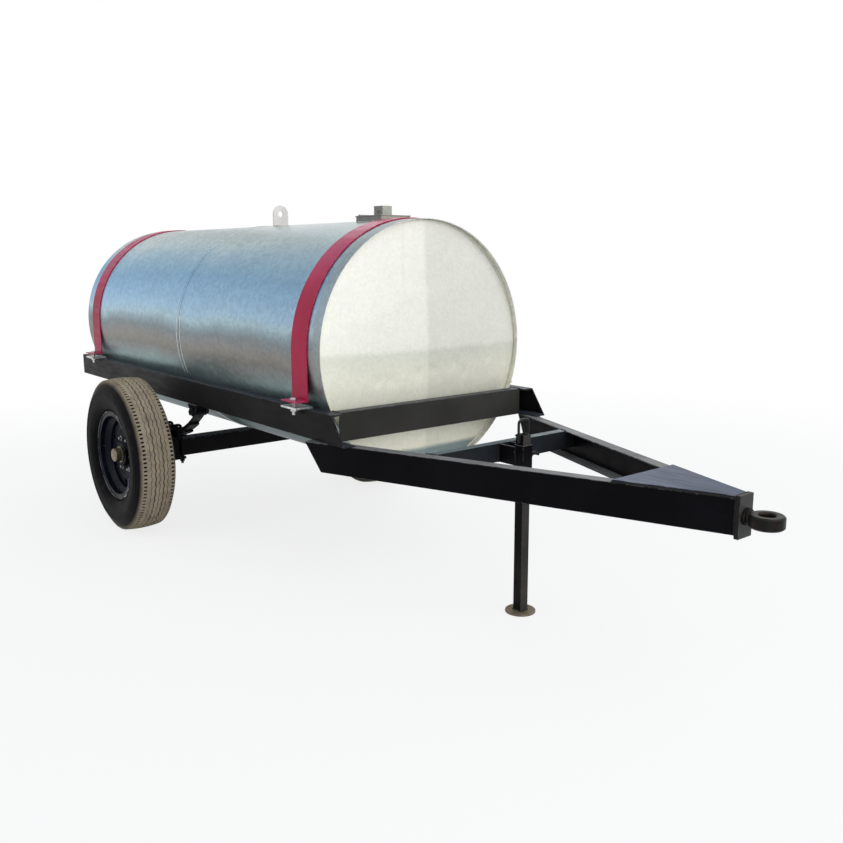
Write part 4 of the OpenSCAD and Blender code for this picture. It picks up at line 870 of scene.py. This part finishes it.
def make_tyre(side):
    """Tyre with zigzag grooves, slots along both shoulders and moulded rings on its walls."""
    centre = Vector(JOINTS["wheel_%s_spin" % side]["pos_m"])
    bm = bmesh.new()
    dust_layer = bm.verts.layers.float.new("dust")
    rings = []
    for pitch in range(TREAD_PITCHES):
        for at, slot in PITCH_POINTS:
            angle = 2*math.pi*(pitch + at)/TREAD_PITCHES
            zig = ZIGZAG*(1.0 - 4.0*abs((pitch % 2 + at)/2 - 0.5))
            ring = []
            for r, s, dust in tyre_section(zig, slot):
                vert = bm.verts.new(centre + Vector((r*math.sin(angle), s, r*math.cos(angle))))
                vert[dust_layer] = dust
                ring.append(vert)
            rings.append(ring)
    count = len(rings[0])
    for i, ring in enumerate(rings):
        after = rings[(i + 1) % len(rings)]
        for k in range(count):
            bm.faces.new((ring[k], ring[(k + 1) % count], after[(k + 1) % count], after[k]))
    bmesh.ops.recalc_face_normals(bm, faces=bm.faces)
    stand_for(finish_mesh(bm, "tyre_%s_treaded" % side, 32), "tyre_" + side, RUBBER[side])


for hand in ("right", "left"):
    make_tyre(hand)


# End panels

def make_panel(node, ahead):
    """Cross-broken end panel with soft creases and shallow dents, and its turned flange."""
    low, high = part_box(node)
    radius = (high[1] - low[1])/2
    middle = (high[2] + low[2])/2
    reach = PANEL_REACH*radius
    rim = (high[0] - PANEL_RISE) if ahead > 0 else (low[0] + PANEL_RISE)
    bm = bmesh.new()

    def rise(y, z):
        """Height of the panel above its rim."""
        fold = math.hypot(y, CREASE_SOFT) + math.hypot(z, CREASE_SOFT) - 2*CREASE_SOFT
        wave = noise.noise(Vector((y*SLOW_WAVE + 7.0*ahead, z*SLOW_WAVE, 0.3)))*SLOW_HEIGHT
        wave += noise.noise(Vector((y*FINE_WAVE, z*FINE_WAVE + 3.0*ahead, 1.7)))*FINE_HEIGHT
        edge = max(0.0, min(1.0, (radius - math.hypot(y, z))/CALM_EDGE))
        dings = 0.0
        for at_y, at_z, wide, deep in DENTS if ahead > 0 else ():
            dings += deep*math.exp(-((y - at_y)**2 + (z - at_z)**2)/wide**2)
        return PANEL_RISE*(1.0 - fold/reach) - PANEL_CLEAR + wave*edge - dings

    def lay_ring(r, back=0.0, flat=None):
        """Ring of points at the panel's height less a step back, or at a flat one."""
        ring = []
        for k in range(PANEL_TURNS):
            a = 2*math.pi*k/PANEL_TURNS
            y, z = r*math.cos(a), r*math.sin(a)
            x = rise(y, z) - back if flat is None else flat
            ring.append(bm.verts.new((rim + ahead*x, y, middle + z)))
        return ring

    tip = bm.verts.new((rim + ahead*rise(0.0, 0.0), 0.0, middle))
    rings = [lay_ring((radius - 0.004)*i/PANEL_STEPS) for i in range(1, PANEL_STEPS + 1)]
    rings += [lay_ring(radius - 0.0012, 0.0012), lay_ring(radius, 0.004), lay_ring(radius, 0.012)]
    rings.append(lay_ring(radius, flat=-PANEL_FLANGE))
    for k in range(PANEL_TURNS):
        after = (k + 1) % PANEL_TURNS
        bm.faces.new((tip, rings[0][k], rings[0][after]))
        for first, second in zip(rings, rings[1:]):
            bm.faces.new((first[k], second[k], second[after], first[after]))
    bmesh.ops.recalc_face_normals(bm, faces=bm.faces)
    if sum(face.normal.x*face.calc_area() for face in bm.faces)*ahead < 0:
        bmesh.ops.reverse_faces(bm, faces=bm.faces)
    obj = smooth_object(bm, node + "_pressed")
    wall = obj.modifiers.new("wall", "SOLIDIFY")
    wall.thickness = PANEL_SHEET
    wall.offset = -1.0
    stand_for(bake_modifiers(obj), node, PANEL_ZINC)


make_panel("tank_front_end", 1)
make_panel("tank_rear_end", -1)


# CAD pieces with rounded edges: finish, width of the rounding in millimetres, nodes

ROUNDED = (
    (FRAME_BLACK, 4.0, ("side_rail_right", "side_rail_left")),
    (BAR_BLACK, 4.0, ("drawbar_beam_right", "drawbar_beam_left")),
    (BEAM_BLACK, 3.0, ("front_cross_beam", "rear_cross_beam")),
    (MEMBER_BLACK, 2.5, ("drawbar_cross_member",)),
    (GUSSET_BLACK, 2.5, ("drawbar_gusset_plate",)),
    (PLATE_BLACK, 2.0, ("drawbar_end_plate",)),
    (BAR_BLACK, 2.0, ("spring_hangers", "stand_sleeve")),
    (FORGED, 2.0, ("towing_eye", "towing_eye_nut", "stand_clamp_screw")),
    (BARE, 1.0, ("hatch_hinge_pin", "spindles")),
    (AXLE_BLACK, 1.0, ("spring_pins", "u_bolts")),
    (STAND_BLACK, 3.5, ("stand_leg",)),
    (HANDLE_BLACK, 0.0, ("stand_handle",)),
    (FOOT_RUST, 0.8, ("stand_foot",)),
    (SHELL_ZINC, 0.8, ("tank_shell_front", "tank_shell_rear", "tank_seam_strip")),
    (NECK_ZINC, 2.0, ("hatch_neck", "hatch_lid", "hatch_vent_box")),
    (LUG_PALE, 2.5, ("lifting_lug",)),
    (CRIMSON, 1.5, ("front_strap", "rear_strap")),
    (BOLT_ZINC, 1.2, ("strap_lug_plates", "strap_bolts", "strap_nuts", "outlet_pipe")),
    (BRASS, 1.0, ("valve_body", "grease_cap_right", "grease_cap_left")),
    (LEVER_RED, 1.5, ("valve_lever",)),
    (AXLE_BLACK, 5.0, ("axle_beam",)),
    (AXLE_BLACK, 1.5, ("spring_seats", "u_bolt_plates", "hub_right", "hub_left")),
    (RIM["right"], 1.0, ("wheel_rim_right",)),
    (RIM["left"], 1.0, ("wheel_rim_left",)),
    (BARE, 0.8, ("wheel_studs_right", "wheel_studs_left")))
for finish, width, nodes in ROUNDED:
    for node in nodes:
        dress(node, finish, width)

for node in ("tank_baffle", "hub_bearings_right", "hub_bearings_left", "hub_nuts", "valve_ball"):
    paint(frame["nodes"][node], SHELL_ZINC if node == "tank_baffle" else BARE)


# Leaf springs, cut at the axle into front and rear halves

def make_leaves(node):
    """Front and rear half of a leaf or leaf pack, cut at the axle."""
    axle = JOINTS["wheel_right_spin"]["pos_m"]
    for part, ahead in (("front", 1), ("rear", -1)):
        bm = mesh_of(node)
        cut = bm.verts[:] + bm.edges[:] + bm.faces[:]
        bmesh.ops.bisect_plane(bm, geom=cut, plane_co=(axle[0], 0, 0), plane_no=(-ahead, 0, 0),
                               clear_outer=True)
        bmesh.ops.holes_fill(bm, edges=[edge for edge in bm.edges if edge.is_boundary])
        round_edges(bm, 1.2*MM)
        obj = finish_mesh(bm, "%s_%s_half" % (node, part))
        paint(obj, AXLE_BLACK)
        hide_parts(node)
        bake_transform(obj)


for name in ("main_leaf_right", "main_leaf_left", "short_leaves_right", "short_leaves_left"):
    make_leaves(name)


# Geometry trees for what repeats or follows a path

def new_growth(name, inputs):
    """Geometry tree with a path in and a shape out."""
    return new_tree(name, "Geometry", {"Path": "Geometry", **inputs}, {"Shape": "Geometry"})


def close_growth(tree, pieces, finish, out):
    """Ends a geometry tree: real meshes with their finish."""
    solid = add(tree, "GeometryNodeRealizeInstances", {"Geometry": pieces}).outputs["Geometry"]
    dressed = add(tree, "GeometryNodeSetMaterial", {"Geometry": solid, "Material": finish})
    feed(tree, out["Shape"], dressed.outputs["Geometry"])
    return tree


def even_line(tree, path, pitch):
    """Curve along a path with points at an even pitch."""
    line = add(tree, "GeometryNodeMeshToCurve", {"Mesh": path}).outputs["Curve"]
    even = add(tree, "GeometryNodeResampleCurve", {"Curve": line, "Length": pitch}, mode="LENGTH")
    return even.outputs["Curve"]


def make_weld_growth():
    """Weld bead: overlapping drops along each path, each a little different."""
    kinds = {"Pitch": "Float", "Width": "Float", "Jitter": "Float", "Seed": "Int", "Finish": "Material"}
    tree, given, out = new_growth("weld_bead", kinds)
    line = even_line(tree, given["Path"], given["Pitch"])
    drop = add(tree, "GeometryNodeMeshUVSphere", {"Segments": 8, "Rings": 5, "Radius": 0.5}).outputs["Mesh"]
    drop = add(tree, "GeometryNodeSetShadeSmooth", {"Geometry": drop}).outputs["Geometry"]
    along = add(tree, "GeometryNodeInputTangent").outputs["Tangent"]
    turn = add(tree, "FunctionNodeAlignRotationToVector", {"Vector": along}, axis="X").outputs["Rotation"]
    least = calc(tree, "SUBTRACT", 1.0, given["Jitter"])
    most = plus(tree, 1.0, given["Jitter"])
    vary = add(tree, "FunctionNodeRandomValue", {2: least, 3: most, 8: given["Seed"]}, data_type="FLOAT")
    across = times(tree, given["Width"], vary.outputs[1])
    size = add(tree, "ShaderNodeCombineXYZ", {0: times(tree, across, 1.3), 1: across, 2: across}).outputs[0]
    inputs = {"Points": line, "Instance": drop, "Rotation": turn, "Scale": size}
    drops = add(tree, "GeometryNodeInstanceOnPoints", inputs).outputs["Instances"]
    return close_growth(tree, drops, given["Finish"], out)


def make_solder_growth():
    """Run of solder or sealant: a cord along each path, thicker and thinner by noise."""
    kinds = {"Pitch": "Float", "Width": "Float", "Uneven": "Float", "Finish": "Material"}
    tree, given, out = new_growth("solder_run", kinds)
    line = even_line(tree, given["Path"], given["Pitch"])
    place = add(tree, "GeometryNodeInputPosition").outputs["Position"]
    lump = calc(tree, "SUBTRACT", cloudy(tree, place, 14.0, 2.0), 0.5)
    thick = plus(tree, 1.0, times(tree, lump, given["Uneven"]))
    wire = add(tree, "GeometryNodeCurvePrimitiveCircle", {"Resolution": 6, "Radius": 0.5}, mode="RADIUS")
    width = times(tree, given["Width"], thick)
    inputs = {"Curve": line, "Profile Curve": wire.outputs["Curve"], "Scale": width}
    cord = add(tree, "GeometryNodeCurveToMesh", inputs)
    cord = add(tree, "GeometryNodeSetShadeSmooth", {"Geometry": cord.outputs["Mesh"]}).outputs["Geometry"]
    return close_growth(tree, cord, given["Finish"], out)


def make_thread_growth():
    """Screw thread: a helical ridge on each point of the path."""
    kinds = {"Radius": "Float", "Turns": "Float", "Height": "Float", "Ridge": "Float", "Finish": "Material"}
    tree, given, out = new_growth("screw_thread", kinds)
    inputs = {"Resolution": 14, "Rotations": given["Turns"], "Height": given["Height"],
              "Start Radius": given["Radius"], "End Radius": given["Radius"]}
    helix = add(tree, "GeometryNodeCurveSpiral", inputs)
    inputs = {"Resolution": 4, "Radius": given["Ridge"]}
    ridge = add(tree, "GeometryNodeCurvePrimitiveCircle", inputs, mode="RADIUS")
    inputs = {"Curve": helix.outputs["Curve"], "Profile Curve": ridge.outputs["Curve"], "Fill Caps": True}
    screw = add(tree, "GeometryNodeCurveToMesh", inputs).outputs["Mesh"]
    spots = add(tree, "GeometryNodeInstanceOnPoints", {"Points": given["Path"], "Instance": screw})
    return close_growth(tree, spots.outputs["Instances"], given["Finish"], out)


def grow(growth, name, body, slot, paths, **values):
    """Runs a geometry tree along paths and lets the plain mesh it gives ride on a body."""
    points = [tuple(point) for path in paths for point in path]
    edges = []
    start = 0
    for path in paths:
        edges += [(start + i, start + i + 1) for i in range(len(path) - 1)]
        start += len(path)
    mesh = bpy.data.meshes.new(name + "_path")
    mesh.from_pydata(points, edges, [])
    obj = new_object(name, mesh)
    modifier = obj.modifiers.new("growth", "NODES")
    modifier.node_group = growth
    for socket in growth.interface.items_tree:
        if socket.in_out == "INPUT" and socket.name in values:
            modifier[socket.identifier] = values[socket.name]
    settle(bake_modifiers(obj), body)


WELD_GROWTH = make_weld_growth()
SOLDER_GROWTH = make_solder_growth()
THREAD_GROWTH = make_thread_growth()


def bar_y(x, inset=0.0):
    """Offset from the middle of a drawbar beam's outer edge at a place along it."""
    share = (x - BAR_REAR[0])/(BAR_TIP[0] - BAR_REAR[0])
    return BAR_REAR[1] + share*(BAR_TIP[1] - BAR_REAR[1]) - inset


def mirrored(paths):
    """Paths of the left side with their twins on the right."""
    return paths + [[(x, -y, z) for x, y, z in path] for path in paths]


def ring_path(x, radius, first=0.0, last=360.0, steps=120):
    """Arc about the tank's axis, its angles in degrees from straight up."""
    return [(x, radius*math.sin(a), TANK_Z + radius*math.cos(a)) for a in arc_angles(first, last, steps)]


def outline_path(ahead, rear, low, high, steps):
    """Closed rectangle in plan, with points along the two edges that lie across the trailer."""
    across = [low + (high - low)*i/steps for i in range(steps + 1)]
    return [(ahead, y) for y in across] + [(rear, y) for y in reversed(across)] + [(ahead, low)]


def frame_welds():
    """Weld lines of the frame and drawbar."""
    rail_low, rail_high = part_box("side_rail_left")
    member_low, member_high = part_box("drawbar_cross_member")
    top, bottom = rail_high[2], rail_low[2]
    tip, face = BAR_TIP[0], member_high[0]
    foot = member_low[2] + 0.002
    left = []
    for node in ("front_cross_beam", "rear_cross_beam"):
        low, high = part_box(node)
        left.append([(low[0] + WELD_END, high[1], top), (high[0] - WELD_END, high[1], top)])
    left.append([(x, rail_high[1], bottom) for x in RAIL_SEAT])
    left.append([(x, bar_y(x), bottom - 0.001) for x in BAR_SEAT])
    left.append([(BEAM_SEAT_X, y, bottom) for y in BEAM_SEAT_Y])
    left.append([(x, bar_y(x, FLANGE_INSET), bottom) for x in MEMBER_SEAT])
    left.append([(face, bar_y(face, WEB_INSET), z) for z in (foot, bottom - 0.011)])
    back = GUSSET_BACK + WELD_END
    left.append([(back, bar_y(back, 0.003), bottom), (tip - WELD_END, bar_y(tip, 0.0025), bottom)])
    left.append([(GUSSET_BACK, bar_y(GUSSET_BACK, inset), bottom) for inset in (0.004, 0.052)])
    left.append([(tip, TIP_SEAM_Y, bottom - drop) for drop in (0.112, 0.002)])
    for x, y in ((face, 0.031), (face + SLEEVE_LENGTH, 0.0255)):
        left.append([(x, y, foot), (x, y, bottom - 0.002)])
    return mirrored(left) + [[(tip, y, bottom + 0.008) for y in (-TIP_TOP_Y, TIP_TOP_Y)]]


def stand_welds():
    """Weld lines of the foot and the handle on the stand's leg."""
    low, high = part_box("stand_leg")
    foot = [(low[0], low[1]), (high[0], low[1]), (high[0], high[1]), (low[0], high[1]), (low[0], low[1])]
    bar_low, bar_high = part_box("stand_handle")
    arms = [[(x, high[1] + 0.0006, bar_low[2] + 0.003), (x, high[1] + 0.0006, high[2] - 0.003)]
            for x in (bar_low[0] + 0.001, bar_high[0] - 0.001)]
    return [[(x, y, low[2] + 0.0005) for x, y in foot]] + mirrored(arms)


def axle_welds():
    """Weld lines of the spring seats and of the spindles' collars on the axle."""
    low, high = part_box("axle_beam")
    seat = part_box("spring_seats")[1][1]
    left = []
    for y in (seat, seat - SEAT_WIDTH):
        left.append([(low[0] + 0.004, y, high[2]), (high[0] - 0.004, y, high[2])])
    x, z, r = (low[0] + high[0])/2, (low[2] + high[2])/2, SPINDLE_SEAT_R
    turns = arc_angles(0, 360, 32)
    left.append([(x + r*math.cos(a), high[1] + 0.001, z + r*math.sin(a)) for a in turns])
    return mirrored(left)


def crown_welds():
    """Weld lines of the filler neck and the lifting lug on the tank's crown."""
    low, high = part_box("hatch_neck")
    neck = outline_path(high[0], 2*HATCH_X - high[0], low[1], high[1], 12)
    low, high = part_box("lifting_lug")
    lug = outline_path(high[0], low[0], low[1], high[1], 8)
    return [[(x, y, TANK_Z + math.sqrt(TANK_R**2 - y*y)) for x, y in path] for path in (neck, lug)]


def make_welds():
    """Weld beads of the whole trailer."""
    rough = {"Pitch": 0.0045, "Width": 0.0062, "Jitter": 0.2, "Finish": WELD}
    grow(WELD_GROWTH, "frame_weld_beads", "chassis", "frame_paint", frame_welds(), Seed=4, **rough)
    grow(WELD_GROWTH, "stand_weld_beads", "stand", "worn_paint", stand_welds(), Seed=9, **rough)
    grow(WELD_GROWTH, "axle_weld_beads", "axle", "spring_paint", axle_welds(), Seed=5, **rough)
    small = {"Pitch": 0.0035, "Width": 0.0045, "Jitter": 0.2, "Finish": WELD_ZINC}
    grow(WELD_GROWTH, "crown_weld_beads", "chassis", "galvanised_sheet", crown_welds(), Seed=2, **small)


def make_runs():
    """Solder along both edges of the seam strip, and sealant inside both rims."""
    runs = []
    for x in (shell_low[0] - SEAM_HALF, shell_low[0] + SEAM_HALF):
        runs += [ring_path(x, TANK_R, *arc) for arc in SOLDER_ARCS]
    grow(SOLDER_GROWTH, "seam_solder_runs", "chassis", "galvanised_sheet", runs, Pitch=0.012, Width=0.0052,
         Uneven=1.2, Finish=SOLDER)
    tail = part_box("tank_shell_rear")[0][0]
    rims = [ring_path(x, TANK_R - 0.005) for x in (TANK_RIM - SEALANT_INSET, tail + SEALANT_INSET)]
    grow(SOLDER_GROWTH, "rim_sealant", "chassis", "end_panel_sheet", rims, Pitch=0.014, Width=0.009,
         Uneven=0.8, Finish=SEALANT)


def make_threads():
    """Threads of the strap bolts, above and below their nuts, and of the U-bolts."""
    spots = [(x, y) for x in STRAP_BOLT_X for y in (-STRAP_BOLT_Y, STRAP_BOLT_Y)]
    thread = {"Radius": 0.0079, "Ridge": 0.0007, "Finish": BOLT_ZINC}
    tops = [(x, y, THREAD_TOP_Z) for x, y in spots]
    grow(THREAD_GROWTH, "strap_bolt_threads", "chassis", "zinc_plate", [tops], Turns=7.0, Height=0.015,
         **thread)
    tails = [(x, y, THREAD_TAIL_Z) for x, y in spots]
    grow(THREAD_GROWTH, "strap_bolt_tail_threads", "chassis", "zinc_plate", [tails], Turns=6.0,
         Height=0.0125, **thread)
    x = JOINTS["wheel_right_spin"]["pos_m"][0]
    low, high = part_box("u_bolts")
    reach = (high[0] - low[0])/2 - U_BOLT_R
    arm = high[1] - SPRING_Y - U_BOLT_R
    spots = [(x + i*reach, j*SPRING_Y + k*arm, low[2] + 0.0005)
             for i in (-1, 1) for j in (-1, 1) for k in (-1, 1)]
    grow(THREAD_GROWTH, "u_bolt_threads", "axle", "bare_steel", [spots], Turns=6.0, Height=0.011,
         Radius=0.0069, Ridge=0.0006, Finish=BARE)


make_welds()
make_runs()
make_threads()
